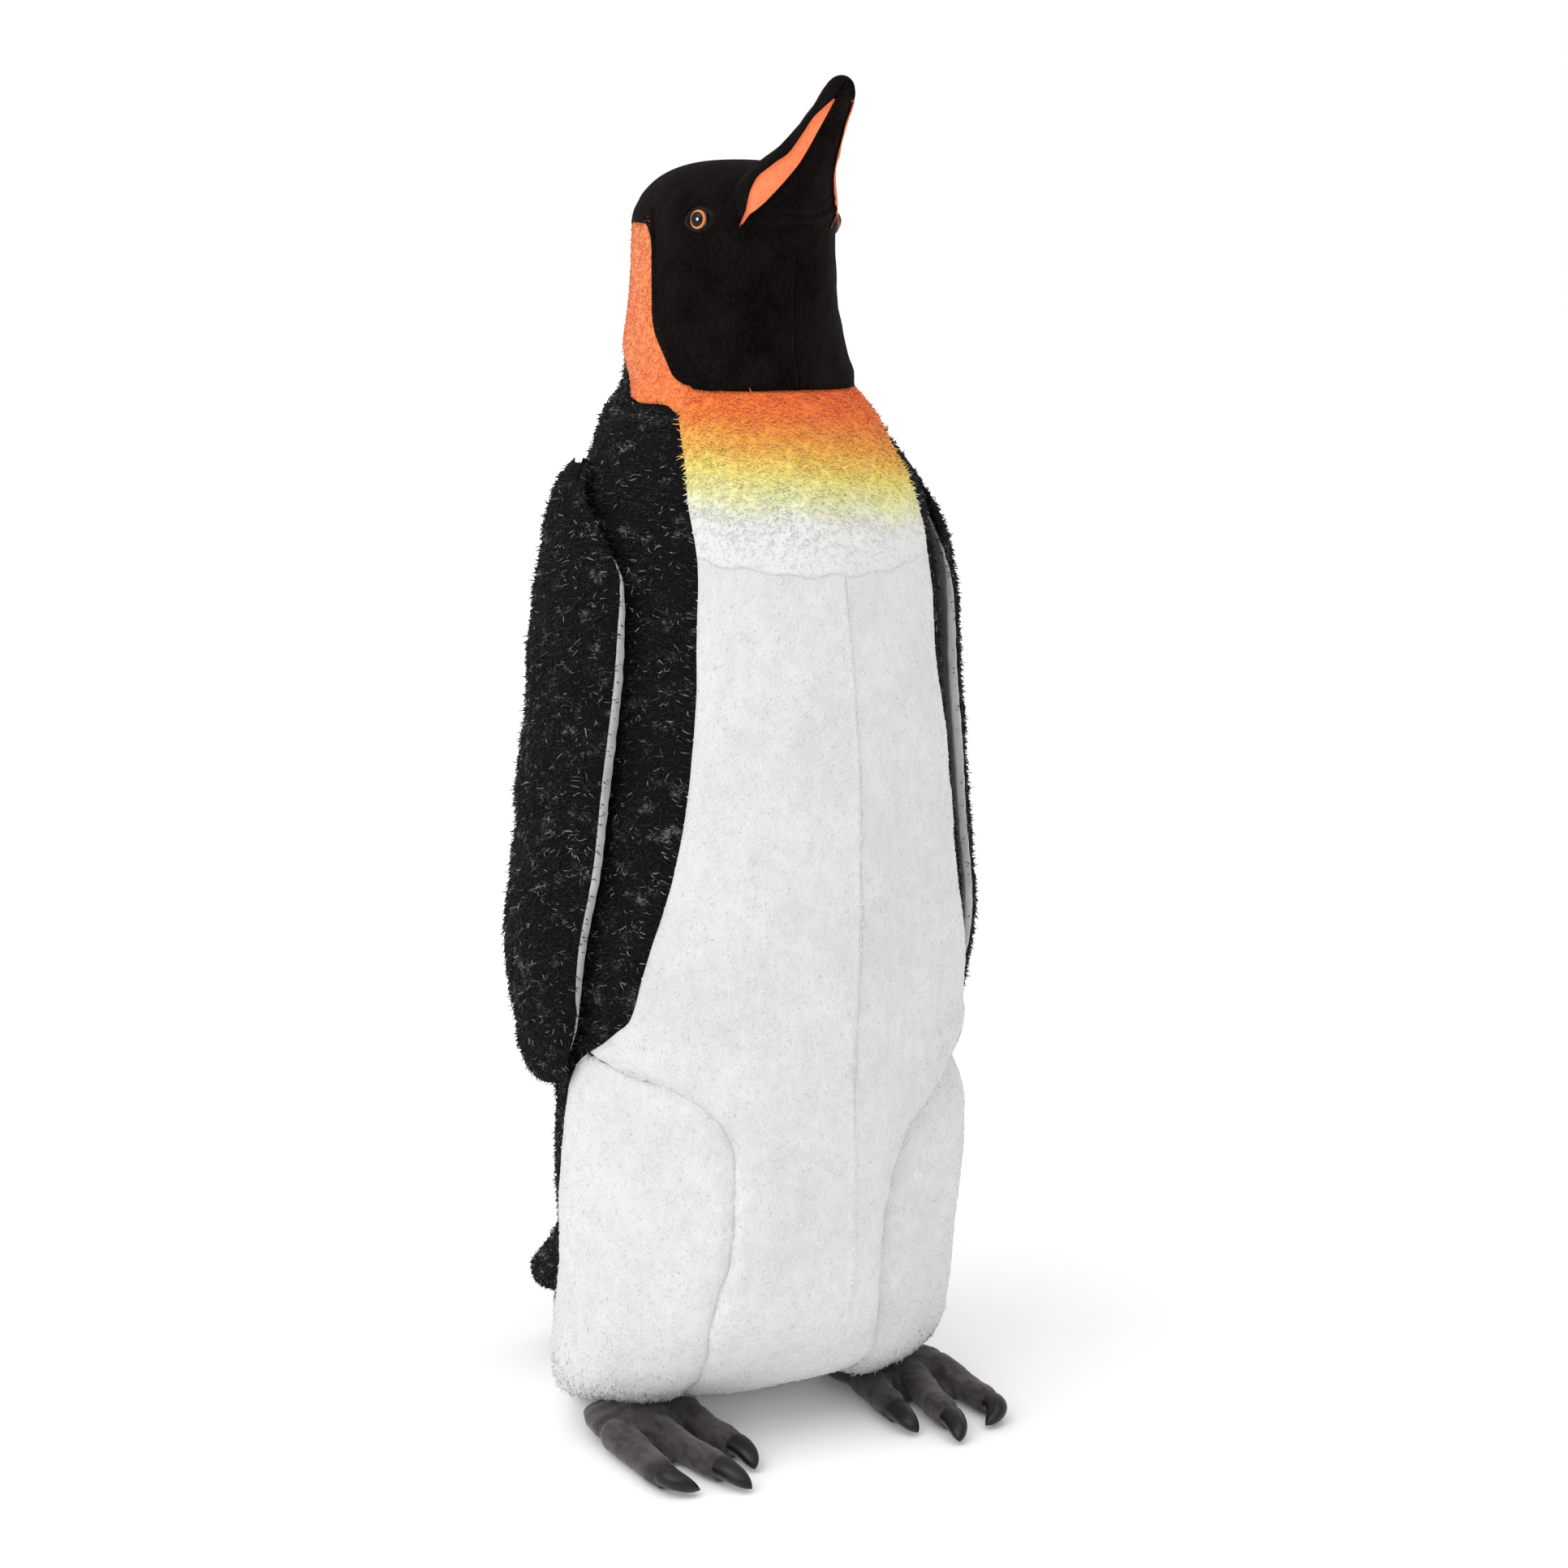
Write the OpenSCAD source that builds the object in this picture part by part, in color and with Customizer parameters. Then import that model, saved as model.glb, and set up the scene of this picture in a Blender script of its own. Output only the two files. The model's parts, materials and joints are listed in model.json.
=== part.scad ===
// Life-size standing plush penguin, front towards -Y, its left side towards +X.
// The sewn body is one surface of rings, cut along its seams into fabric panels over stuffing.

/* [Body] */
// Height from the floor to the crown of the head
crown_h = 988; // [900:1:1080]
// Width of the body at the hips
hip_w = 334; // [300:1:360]
// Thickness of the plush fabric with its backing
fabric_t = 5; // [3:0.5:6]
// Clearance between the fabric and the stuffing inside it
stuffing_gap = 3; // [2.5:0.1:4]
// Allowance left at each seam between two panels
seam_gap = 0.8; // [0.6:0.1:1.5]

/* [Head] */
// Diameter of each plastic eye
eye_d = 16; // [12:1:18]
// Height that each eye dome stands out of its lid
eye_h = 5.5; // [4:0.5:7]
// Length of the beak from its root to its tip
beak_l = 122; // [100:1:135]
// Rise of the beak above the horizontal, in degrees
beak_rise = 40; // [36:1:44]

/* [Flippers] */
// Width of each flipper from its front edge to its rear edge
flipper_w = 126; // [110:1:138]
// Thickness of each stuffed flipper at its middle
flipper_t = 36; // [28:1:40]
// Height of the flipper hinge seam above the floor
flipper_seam_h = 764; // [756:1:770]
// Height of the flipper tip above the floor
flipper_tip_h = 288; // [270:1:320]

/* [Tail] */
// How far the tail reaches behind the back
tail_l = 84; // [70:1:95]
// Width of the tail at its root
tail_w = 240; // [200:1:244]

/* [Feet] */
// Height of the foot under the hem of the leg
foot_h = 30; // [26:1:32]
// Length of each claw
claw_l = 34; // [28:1:38]

/* [Hidden] */

// Colours of the fabrics and plastics
white_plush = [0.93, 0.93, 0.93];
black_plush = [0.1, 0.1, 0.11];
speckled_fur = [0.22, 0.22, 0.23];
orange_plush = [1, 0.5, 0.2];
coral_plush = [1, 0.5, 0.33];
foot_velour = [0.3, 0.27, 0.29];
fibre = [0.85, 0.83, 0.78];

// Rings of the body: height, centre in Y, half width, half depth to the front and to the back
rings = [
  [0, 85, 120, 45, 50], [12, 68, 140, 68, 78], [35, 36, 158, 90, 120], [60, 18, 163, 116, 146],
  [100, 6, 165, 138, 156], [140, 0, 165, 143, 156], [200, 0, 167, 146, 153], [260, 0, 166, 146, 150],
  [330, 0, 165, 150, 148], [400, 0, 165, 156, 146], [470, 0, 155, 157, 143], [530, 0, 149, 156, 139],
  [600, 0, 142, 148, 135], [650, 4, 142, 143, 130], [700, 10, 141, 140, 124], [740, 16, 138, 126, 120],
  [775, 25, 119, 114, 112], [800, 34, 106, 108, 104], [820, 37, 88, 96, 100], [850, 40, 82, 97, 98],
  [880, 42, 75, 98, 98], [910, 42, 72, 100, 98], [930, 42, 71, 100, 98], [988, 40, 71, 100, 98]];
tall = crown_h / 988;
wide = hip_w / 334;
dome_start = 930 * tall;
inner = -fabric_t - stuffing_gap;

// Heights of the seams and of the layers inside
base_top = fabric_t + 0.5;
board_top = base_top + 4;
ballast_top = 56 * tall;
hem_h = 35 * tall;
seat_top = 92 * tall;
leg_top = 316 * tall;
rump_top = 300 * tall;
belly_top = 690 * tall;
chest_top = 819 * tall;
fur_top = 803 * tall;
core_top = 806 * tall;

function mix(a, b, t) = a + (b - a) * t;
function slope(list, k) =
  let (i = max(k - 1, 0), j = min(k + 1, len(list) - 1)) (list[j] - list[i]) / (list[j][0] - list[i][0]);
function span_of(list, x, i = 0) = (i >= len(list) - 2 || x < list[i + 1][0]) ? i : span_of(list, x, i + 1);

// Smooth curve through a list whose first column rises
function curve(list, x) =
  let (i = span_of(list, x), p = list[i], q = list[i + 1], w = q[0] - p[0],
    t = min(max((x - p[0]) / w, 0), 1), m = slope(list, i) * w, n = slope(list, i + 1) * w)
  (2 * pow(t, 3) - 3 * t * t + 1) * p + (pow(t, 3) - 2 * t * t + t) * m
  + (3 * t * t - 2 * pow(t, 3)) * q + (pow(t, 3) - t * t) * n;

// The head closes in a flattened dome whose top is at the height crown
function dome(z, crown) =
  z <= dome_start ? 1 : pow(max(1 - pow((z - dome_start) / (crown - dome_start), 2.5), 0), 0.4);

// A point on the body at an angle from the front, at a height, moved out by off
function skin(angle, z, off = 0) =
  let (s = curve(rings, min(z / tall, 988)), d = dome(z, crown_h + min(off, 0)),
    depth = cos(angle) > 0 ? s[3] : s[4])
  [max((s[2] * wide + off) * d, 0.3) * sin(angle), s[1] - max((depth + off) * d, 0.3) * cos(angle), z];

// True when a point is inside the body surface moved out by off
function is_inside(p, off = 0) =
  let (s = curve(rings, p[2] / tall), d = dome(p[2], crown_h),
    a = s[2] * wide * d + off, b = (p[1] < s[1] ? s[3] : s[4]) * d + off)
  p[2] > 0 && p[2] < crown_h && a > 0 && b > 0 && pow(p[0] / a, 2) + pow((p[1] - s[1]) / b, 2) < 1;

// Where the line from p (outside) to q (inside) meets the body surface moved out by off
function meet(p, q, off, n = 16) =
  n == 0 ? p : let (m = (p + q) / 2) is_inside(m, off) ? meet(p, m, off, n - 1) : meet(m, q, off, n - 1);

// Angle from the front of the seam between the white front and the dark back, at each height
side_seam = [[0, 106], [98, 104], [166, 100], [231, 96], [280, 92], [305, 88], [314, 84], [324, 77], [340, 69],
  [351, 64], [385, 60], [436, 55], [503, 51], [564, 49], [613, 48], [660, 46], [697, 45],
  [752, 46], [779, 50], [803, 53], [830, 54]];
// Angle of the outer edge of the belly at each height, beside a leg set wide or a leg set close
belly_edge_wide = [[0, 34], [86, 37], [119, 38], [145, 36], [177, 33], [239, 32], [262, 33], [280, 37],
  [296, 45], [305, 54], [311, 66], [318, 81]];
belly_edge_close = [[0, 20], [73, 15], [113, 11], [155, 10], [193, 11], [236, 15], [262, 22], [280, 31],
  [296, 43], [305, 54], [311, 66], [318, 81]];
// Height of the lower edge of the black head panels, at each angle from the front
head_edge = [[0, 820], [40, 820], [47, 821], [61, 830], [69, 847], [80, 872], [84, 900], [87, 928],
  [92, 942], [98, 944], [124, 944], [130, 935], [134, 880], [138, 862], [180, 861]];
// Height of the upper edge of the speckled fur at each angle from the front
fur_edge = [[0, 803], [53, 803], [61, 808], [84, 811], [100, 829], [118, 848], [134, 856], [180, 858]];

// Heights, angles and shares at which the fabric grids have their rows and columns
levels = [18, 35, 60, 92, 125, 160, 200, 235, 262, 280, 296, 305, 311, 318, 330, 351, 385, 425, 470, 515,
  564, 613, 655, 690, 715, 735, 752, 768, 782, 794, 803, 811, 819];
head_angles = [0, 15, 30, 42, 54, 61, 69, 76, 80, 84, 87, 92, 98, 111, 124, 130, 134, 138, 152, 166, 180];
head_rows = [0, 0.18, 0.36, 0.52, 0.66, 0.78, 0.87, 0.935, 0.975, 0.993, 1];

function side_angle(z) = curve(side_seam, z / tall)[1];
function head_low(angle) = curve(head_edge, angle)[1] * tall;
function fur_high(angle) = curve(fur_edge, angle)[1] * tall;
function belly_angle(z, close) =
  z / tall > 318 ? side_angle(z) : curve(close ? belly_edge_close : belly_edge_wide, z / tall)[1];
function between(low, high) =
  concat([low], [for (h = levels) if (h * tall > low + 1 && h * tall < high - 1) h * tall], [high]);
// The grid levels between two heights, as shares of the way between them
function shares(low, high) = [for (z = between(low, high)) (z - low) / (high - low)];
function columns(from, to) = [for (a = head_angles) if (a >= from && a <= to) (a - from) / (to - from)];
function steps(n) = [for (i = [0:n]) i / n];

// Closes a grid of points and its inner copy into one solid
module patch_solid(outer, inside) {
  m = len(outer);
  n = len(outer[0]);
  k = m * n;
  points = concat([for (row = outer) each row], [for (row = inside) each row]);
  top = [for (i = [0:m - 2], j = [0:n - 2])
    each [[i * n + j, (i + 1) * n + j + 1, i * n + j + 1], [i * n + j, (i + 1) * n + j, (i + 1) * n + j + 1]]];
  under = [for (f = top) [k + f[0], k + f[2], k + f[1]]];
  rim = concat(
    [for (j = [0:n - 2]) [j, j + 1]],
    [for (i = [0:m - 2]) [i * n + n - 1, (i + 1) * n + n - 1]],
    [for (j = [n - 1:-1:1]) [(m - 1) * n + j, (m - 1) * n + j - 1]],
    [for (i = [m - 1:-1:1]) [i * n, (i - 1) * n]]);
  sides = [for (e = rim) each [[e[0], e[1], k + e[1]], [e[0], k + e[1], k + e[0]]]];
  polyhedron(points, concat(top, under, sides));
}

// Closed solid through rings that each have the same number of points
module loft(list) {
  m = len(list);
  n = len(list[0]);
  middle = [for (ring = [list[0], list[m - 1]]) [for (p = ring) 1] * ring / n];
  points = concat([for (ring = list) each ring], middle);
  walls = [for (i = [0:m - 2], j = [0:n - 1])
    let (a = i * n + j, b = i * n + (j + 1) % n) each [[a, b + n, b], [a, a + n, b + n]]];
  low_cap = [for (j = [0:n - 1]) [m * n, j, (j + 1) % n]];
  high_cap = [for (j = [0:n - 1]) [m * n + 1, (m - 1) * n + (j + 1) % n, (m - 1) * n + j]];
  polyhedron(points, concat(walls, low_cap, high_cap));
}

// Fabric panel of the body. from and to give the angles of its side edges at a height,
// low and high the heights of its ends at an angle, across and up where its grid lines are.
module panel(from, to, low, high, across, up, crown = false) {
  z_low = low(to(0));
  z_high = crown ? crown_h : high(to(fur_top));
  cell = function (u, v, off)
    let (first = mix(from(z_low), to(z_low), u), last = mix(from(z_high), to(z_high), u),
      z = mix(low(first) + seam_gap, high(last) - (crown ? -off : seam_gap), v), trim = seam_gap * 0.4)
    skin(mix(from(z) + trim, to(z) - trim, u), z, off);
  grid = function (off) [for (v = up) [for (u = across) cell(u, v, off)]];
  patch_solid(grid(0), grid(-fabric_t));
}

// Body stuffing between two heights
module filling(low, high, count = 30) {
  loft([for (z = between(low, high)) [for (i = [0:count - 1]) skin(i * 360 / count, z, inner)]]);
}

module body_stuffing() {
  color(fibre) filling(ballast_top + 0.5, core_top);
}

module ballast_bag() {
  color("tan") filling(board_top + 0.5, ballast_top);
}

// Flat oval that follows the lower edge of the body
module base_oval(off, count = 60) {
  polygon([for (i = [0:count - 1]) let (p = skin(i * 360 / count, 0, off)) [p[0], p[1]]]);
}

module base_board() {
  color("burlywood") translate([0, 0, base_top]) linear_extrude(board_top - base_top) base_oval(inner);
}

module base_panel() {
  color(white_plush) linear_extrude(fabric_t) base_oval(0);
}

module underside_panel() {
  color(white_plush) panel(
    function (z) -side_angle(z), function (z) side_angle(z),
    function (a) base_top, function (a) hem_h, steps(26), shares(base_top, hem_h));
}

module seat_panel() {
  color(white_plush) panel(
    function (z) side_angle(z), function (z) 360 - side_angle(z),
    function (a) base_top, function (a) seat_top, steps(18), shares(base_top, seat_top));
}

module rump_panel() {
  color(speckled_fur) panel(
    function (z) side_angle(z), function (z) 360 - side_angle(z),
    function (a) seat_top, function (a) rump_top, steps(18), shares(seat_top, rump_top));
}

module back_panel() {
  color(speckled_fur) panel(
    function (z) side_angle(z), function (z) 180,
    function (a) rump_top, function (a) fur_high(a), steps(12), shares(rump_top, fur_top));
}

module chest_panel() {
  color("orange") panel(
    function (z) -side_angle(z), function (z) side_angle(z),
    function (a) belly_top, function (a) chest_top, steps(14), shares(belly_top, chest_top));
}

module belly_panel(close) {
  color(white_plush) panel(
    function (z) 0, function (z) belly_angle(z, close),
    function (a) hem_h, function (a) belly_top, steps(6), shares(hem_h, belly_top));
}

module leg_panel(close) {
  color(white_plush) panel(
    function (z) belly_angle(z, close), function (z) side_angle(z),
    function (a) hem_h, function (a) leg_top, steps(9), shares(hem_h, leg_top));
}

module neck_band() {
  color(orange_plush) panel(
    function (z) 54, function (z) 130,
    function (a) fur_high(a), function (a) head_low(a), columns(54, 130), steps(5));
}

// The eyes sit on the sides of the head and look outwards
eye_angle = 55;
eye_z = 942 * tall;
eye_at = skin(eye_angle, eye_z);
eye_across = skin(eye_angle + 4, eye_z) - skin(eye_angle - 4, eye_z);
eye_rise = skin(eye_angle, eye_z + 4) - skin(eye_angle, eye_z - 4);
eye_out = cross(eye_across, eye_rise) / norm(cross(eye_across, eye_rise));
stem_r = 2;
washer_r = 9;
washer_t = 2;
lid_t = 1.5;
pocket_l = 12;

// Places children with their Z axis pointing straight out of the left side of the head at the eye
module at_eye(off) {
  translate(eye_at + off * eye_out)
    rotate([0, acos(eye_out[2]), atan2(eye_out[1], eye_out[0])])
      children();
}

module head_panel() {
  color(black_plush) difference() {
    panel(
      function (z) 0, function (z) 180,
      function (a) head_low(a), function (a) crown_h, columns(0, 180), head_rows, true);
    at_eye(-fabric_t * 2) cylinder(h = fabric_t * 4, r = stem_r + 0.3, $fn = 32);
  }
}

module head_stuffing() {
  low = core_top + 0.5;
  off = inner - 1;
  count = 30;
  color(fibre) difference() {
    loft([for (v = concat(0, 0.04, 0.08, 0.13, 0.19, 0.27, [for (v = head_rows) if (v > 0.3) v]))
      let (z = mix(low, crown_h + off, v))
      [for (i = [0:count - 1]) skin(i * 360 / count, z, off)]]);
    for (side = [0, 1])
      mirror([side, 0, 0]) at_eye(-fabric_t - pocket_l) cylinder(h = pocket_l + fabric_t, r = washer_r + 1, $fn = 48);
  }
}

// Glossy dome on a stem that goes through the fabric
module eye() {
  cap_r = (pow(eye_d / 2, 2) + eye_h * eye_h) / (2 * eye_h);
  color([0.12, 0.07, 0.03]) at_eye(lid_t * 0.5) {
    rotate_extrude($fn = 64)
      intersection() {
        translate([0, eye_h - cap_r]) circle(r = cap_r, $fn = 96);
        square([eye_d, eye_h]);
      }
    translate([0, 0, -fabric_t - pocket_l / 2]) cylinder(h = fabric_t + pocket_l / 2, r = stem_r, $fn = 32);
  }
}

module eye_washer() {
  color("whitesmoke") at_eye(-fabric_t - washer_t - 2) difference() {
    cylinder(h = washer_t, r = washer_r, $fn = 48);
    translate([0, 0, -1]) cylinder(h = washer_t + 2, r = stem_r + 0.1, $fn = 32);
  }
}

// Ring of velour around the dome
module eyelid() {
  color(black_plush) at_eye(0.6) difference() {
    cylinder(h = lid_t, r = eye_d / 2 + 4, $fn = 48);
    translate([0, 0, -1]) cylinder(h = lid_t + 2, r = eye_d / 2 + 0.3, $fn = 48);
  }
}

// The beak runs forward and up from the front of the head
beak_from = [0, -40, 960 * tall];
beak_way = [0, -cos(beak_rise), sin(beak_rise)];
beak_up = [0, sin(beak_rise), cos(beak_rise)];
// Share of the length, half width and half height of the beak, and how far it bows up
beak_rings = [[0, 39, 28, -1], [0.15, 34, 25, -2], [0.3, 26, 20.5, -2.5], [0.5, 18.5, 16, -2], [0.7, 14, 12.5, -0.5],
  [0.85, 11.5, 10.5, 1], [0.95, 8, 7.5, 1.5], [1, 2, 2, 1.5]];
// Angles on the beak's section between which its side stripe lies, at each share of the length
stripe_edges = [[0, -27, -12], [0.08, -36, 0], [0.2, -40, 11], [0.33, -43, 5], [0.44, -46, -9], [0.7, -50, -17],
  [0.85, -51, -34], [1, -50, -47]];
beak_shares = [0, 0.08, 0.18, 0.3, 0.42, 0.55, 0.68, 0.8, 0.88, 0.94, 0.98, 1];
root_squareness = 0.55;
// Sizes of the rings that close a piece of stuffing where it lies against the body
root_rings = [0.15, 0.4, 0.6, 0.75, 0.88, 1];
beak_skin = 2.5;
// Angle left open at a seam of the beak
beak_seam = 2;

// Point on the beak's section at an angle from its left side, at a share of its length.
// The lower half of the section is squarer towards the root.
function beak_point(angle, share, off) =
  let (r = curve(beak_rings, share), grow = max(off, -r[2] + 0.6), c = cos(angle), s = sin(angle),
    power = s < 0 ? mix(root_squareness, 1, min(share * 3, 1)) : 1,
    p = beak_from + beak_way * beak_l * share + [1, 0, 0] * (r[1] + grow) * sign(c) * pow(abs(c), power)
      + beak_up * (r[3] + (r[2] + grow) * sign(s) * pow(abs(s), power)))
  share > 0 ? p : meet(p + beak_way * 80, p - beak_way * 60, 0.8);

function beak_grid(from, to, n, last, off) =
  [for (s = beak_shares) if (s <= last) [for (j = [0:n])
    let (e = curve(stripe_edges, s), a = mix(from(e), to(e), j / n)) beak_point(a, s, off)]];

module beak_panel(from, to, n, last = 1) {
  patch_solid(beak_grid(from, to, n, last, 0), beak_grid(from, to, n, last, -beak_skin));
}

module beak_upper() {
  color(black_plush) beak_panel(function (e) e[2] + beak_seam, function (e) 180 - e[2] - beak_seam, 10);
}

module beak_stripe() {
  color(coral_plush) beak_panel(function (e) e[1] + beak_seam, function (e) e[2] - beak_seam, 4, 0.88);
}

module beak_lower() {
  color(black_plush) beak_panel(function (e) 180 - e[1] + beak_seam, function (e) 360 + e[1] - beak_seam, 16);
}

// The stuffing's end at the root follows the head in rings of growing size
module beak_stuffing() {
  count = 24;
  beak_inner = -beak_skin - 1.6;
  color(fibre) loft([for (g = root_rings) [for (j = [0:count - 1])
    let (p = mix(beak_from, beak_point(j * 360 / count, 0.001, beak_inner), g))
      meet(p + beak_way * 80, p - beak_way * 60, 0.8)],
    for (s = beak_shares) if (s > 0 && s < 0.96) [for (j = [0:count - 1]) beak_point(j * 360 / count, s, beak_inner)]]);
}

// Each flipper is sewn to the side of the body along its slanting top edge, hangs over the body's side
// and follows its curve. Share of its length, share of its width, share of its thickness, Y of its middle line
flipper_rings = [[0, 0.27, 0.3, 33], [0.05, 0.45, 0.42, 28], [0.12, 0.75, 0.58, 18], [0.17, 0.9, 0.7, 12],
  [0.23, 0.96, 0.82, 11.5], [0.36, 1, 0.96, 15], [0.52, 1, 1, 18], [0.68, 0.97, 0.98, 20], [0.82, 0.88, 0.9, 23],
  [0.92, 0.74, 0.76, 26], [0.97, 0.57, 0.6, 27], [1, 0.34, 0.4, 28]];
flipper_shares = [0, 0.03, 0.07, 0.12, 0.18, 0.26, 0.35, 0.45, 0.55, 0.65, 0.75, 0.84, 0.91, 0.955, 0.985, 1];
flipper_gap = 4;
flipper_edge = 6;
lining_t = 3;
flipper_fill = 2;
// How much thicker the flipper is towards its rear edge
flipper_skew = 0.35;
// The outer fabric turns this angle round each edge of the flipper
turn = 14;
// Angle left open between the lining and the outer fabric
lining_gap = 9;

// Point round the flipper's section at a share of its length, moved in by cut
function flipper_point(angle, share, cut = 0) =
  let (f = curve(flipper_rings, share), z = mix(flipper_seam_h, flipper_tip_h, share) + cut * (2 * share - 1),
    half = max(flipper_w / 2 * f[1] - cut, 1), edge = max(flipper_edge * min(1, f[2] + 0.3) - cut, 0.5),
    bulge = max(flipper_t * f[2] - flipper_edge - cut, edge), y = f[3] - half * cos(angle),
    s = curve(rings, z / tall), depth = y < s[1] ? s[3] : s[4], a = acos((s[1] - y) / depth),
    lift = sin(angle) >= 0 ? bulge * pow(sin(angle), 0.85) * (1 - flipper_skew * cos(angle))
      : -edge * pow(-sin(angle), 0.45))
  skin(a, z, flipper_gap + flipper_edge + lift);

module flipper_skin(from, to, n, t) {
  grid = function (cut) [for (s = flipper_shares)
    [for (j = [0:n]) flipper_point(mix(to, from, j / n), s, cut)]];
  patch_solid(grid(0), grid(t));
}

module flipper_outer() {
  color(speckled_fur) flipper_skin(-turn + 1, 180 + turn - 1, 11, fabric_t);
}

module flipper_lining() {
  color("gainsboro") flipper_skin(180 + turn + lining_gap, 360 - turn - lining_gap, 9, lining_t);
}

module flipper_stuffing() {
  count = 20;
  color(fibre) loft([for (s = flipper_shares) if (s < 0.98)
    [for (j = [0:count - 1]) flipper_point(-j * 360 / count, s, fabric_t + flipper_fill)]]);
}

// The tail is a broad stuffed wedge sewn to the back above the seat
tail_root_z = 126 * tall;
tail_root_h = 68;
tail_tip = [0, 132 + tail_l, 62 * tall];
tail_skin = 3;
// Half height of the tail before its end, how much its sides draw in there, and the length of its rounded edge
tail_end_h = 30;
tail_taper = 6;
tail_edge = 18;
tail_bend = 0.75;
tail_clear = 1.2;
// Makes the tail's section squarer than an ellipse
tail_squareness = 4.4;
function tail_rise(angle) = sign(sin(angle)) * sqrt(1 - pow(abs(cos(angle)), tail_squareness));
function back_y(x, z) = let (s = curve(rings, z / tall)) s[1] + s[4] * sqrt(1 - pow(x / (s[2] * wide), 2));

// Point round the tail's section at a share of its length, moved in by cut
function tail_point(angle, share, cut = 0) =
  let (half = tail_w / 2 - cut, x = half * cos(angle), z = tail_root_z + (tail_root_h - cut) * tail_rise(angle),
    root = [x, back_y(x, z) + tail_clear + (cut > 0 ? 0.2 : 0), z],
    end = tail_tip + [(half - tail_taper) * cos(angle), -tail_edge, (tail_end_h - cut) * tail_rise(angle) + 6],
    last = tail_tip + [(half - tail_taper - tail_edge) * cos(angle), -cut, (tail_end_h / 2 - cut) * tail_rise(angle)])
  share < tail_bend ? mix(root, end, share / tail_bend) : mix(end, last, (share - tail_bend) / (1 - tail_bend));

tail_shares = [0, 0.25, 0.5, 0.75, 0.9, 1];
module tail_half(from, to) {
  grid = function (cut) [for (s = tail_shares) [for (j = [0:14]) tail_point(mix(to, from, j / 14), s, cut)]];
  patch_solid(grid(0), grid(tail_skin));
}

module tail_top() {
  color(speckled_fur) tail_half(0.6, 179.4);
}

module tail_underside() {
  color(speckled_fur) tail_half(180.6, 359.4);
}

module tail_stuffing() {
  count = 28;
  cut = tail_skin + 2;
  color(fibre) loft([for (g = root_rings) [for (j = [0:count - 1])
    let (a = -j * 360 / count, x = (tail_w / 2 - cut) * g * cos(a),
      z = tail_root_z + (tail_root_h - cut) * g * tail_rise(a))
      [x, back_y(x, z) + tail_clear + 0.5, z]],
    for (s = tail_shares) if (s > 0) [for (j = [0:count - 1]) tail_point(-j * 360 / count, s, cut)]]);
}

// Each toe from its root to the base of its claw: place of both ends and of the claw's point
outer_toe = [[146, -34], [146, -122], [127, -141]];
middle_toe = [[117, -40], [102, -130], [92, -158]];
inner_toe = [[82, -24], [72, -97], [73, -127]];
toes = [outer_toe, middle_toe, inner_toe];
toe_w = 15;
toe_end = [11, 20];
// Palm of the foot: Y, middle X, half width, height as a share of foot_h
palm = [[40, 106, 26, 0.3], [25, 107, 40, 0.55], [0, 109, 49, 0.85], [-25, 112, 51, 1], [-45, 114, 48, 0.92],
  [-58, 115, 42, 0.6]];
sole_t = 4;
foot_skin = 3;

// Half-oval section standing on a plane, across the way it points
function arch(at, way, half, low, high, n = 8) =
  [for (i = [0:n]) let (a = i * 180 / n)
    [at[0] - way[1] * half * cos(a), at[1] + way[0] * half * cos(a), low + (high - low) * pow(sin(a), 0.8)]];

module toe(t, low, cut) {
  way = (t[1] - t[0]) / norm(t[1] - t[0]);
  loft([for (s = steps(4)) arch(mix(t[0], t[1], s), way, mix(toe_w, toe_end[0], s) - cut, low,
    mix(foot_h * 0.85, toe_end[1], s) - cut)]);
}

module palm_form(low, cut) {
  loft([for (r = palm) arch([r[1], r[0] - (cut > 0 ? cut * sign(r[0]) : 0)], [0, -1], r[2] - cut, low,
    max(r[3] * foot_h - cut, low + 0.5))]);
}

module foot_form(low, cut) {
  difference() {
    union() {
      palm_form(low, cut);
      for (t = toes) toe(t, low, cut);
    }
    under_body();
  }
}

// The space that the lower body takes above the feet
module under_body() {
  loft([for (z = [-1, 12, 24, 35, 48, 60]) [for (i = [0:39]) skin(i * 9, max(z, 0), 0.8) + [0, 0, min(z, 0)]]]);
}

module foot_sole() {
  color(foot_velour) linear_extrude(sole_t) difference() {
    union() {
      polygon(concat([for (r = palm) [r[1] + r[2], r[0]]],
        [for (i = [len(palm) - 1:-1:0]) [palm[i][1] - palm[i][2], palm[i][0]]]));
      for (t = toes) let (way = (t[1] - t[0]) / norm(t[1] - t[0]), side = [-way[1], way[0]])
        polygon([t[0] + side * toe_w, t[1] + side * toe_end[0], t[1] - side * toe_end[0], t[0] - side * toe_w]);
    }
    polygon([for (i = [0:59]) let (p = skin(i * 6, sole_t, 0.8)) [p[0], p[1]]]);
  }
}

module foot_upper() {
  color(foot_velour) difference() {
    foot_form(sole_t + 0.3, 0);
    difference() {
      foot_form(sole_t - 1, foot_skin);
      for (t = toes) toe_wall(t);
    }
  }
}

// Closes the end of a toe behind its claw
module toe_wall(t) {
  way = (t[1] - t[0]) / norm(t[1] - t[0]);
  translate([t[1][0], t[1][1], 0]) rotate(atan2(way[1], way[0])) translate([-foot_skin, -toe_w, 0])
    cube([foot_skin * 2, toe_w * 2, foot_h]);
}

module foot_stuffing() {
  color(fibre) difference() {
    foot_form(sole_t + 0.6, foot_skin + 0.8);
    for (t = toes) toe_wall(t);
  }
}

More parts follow.
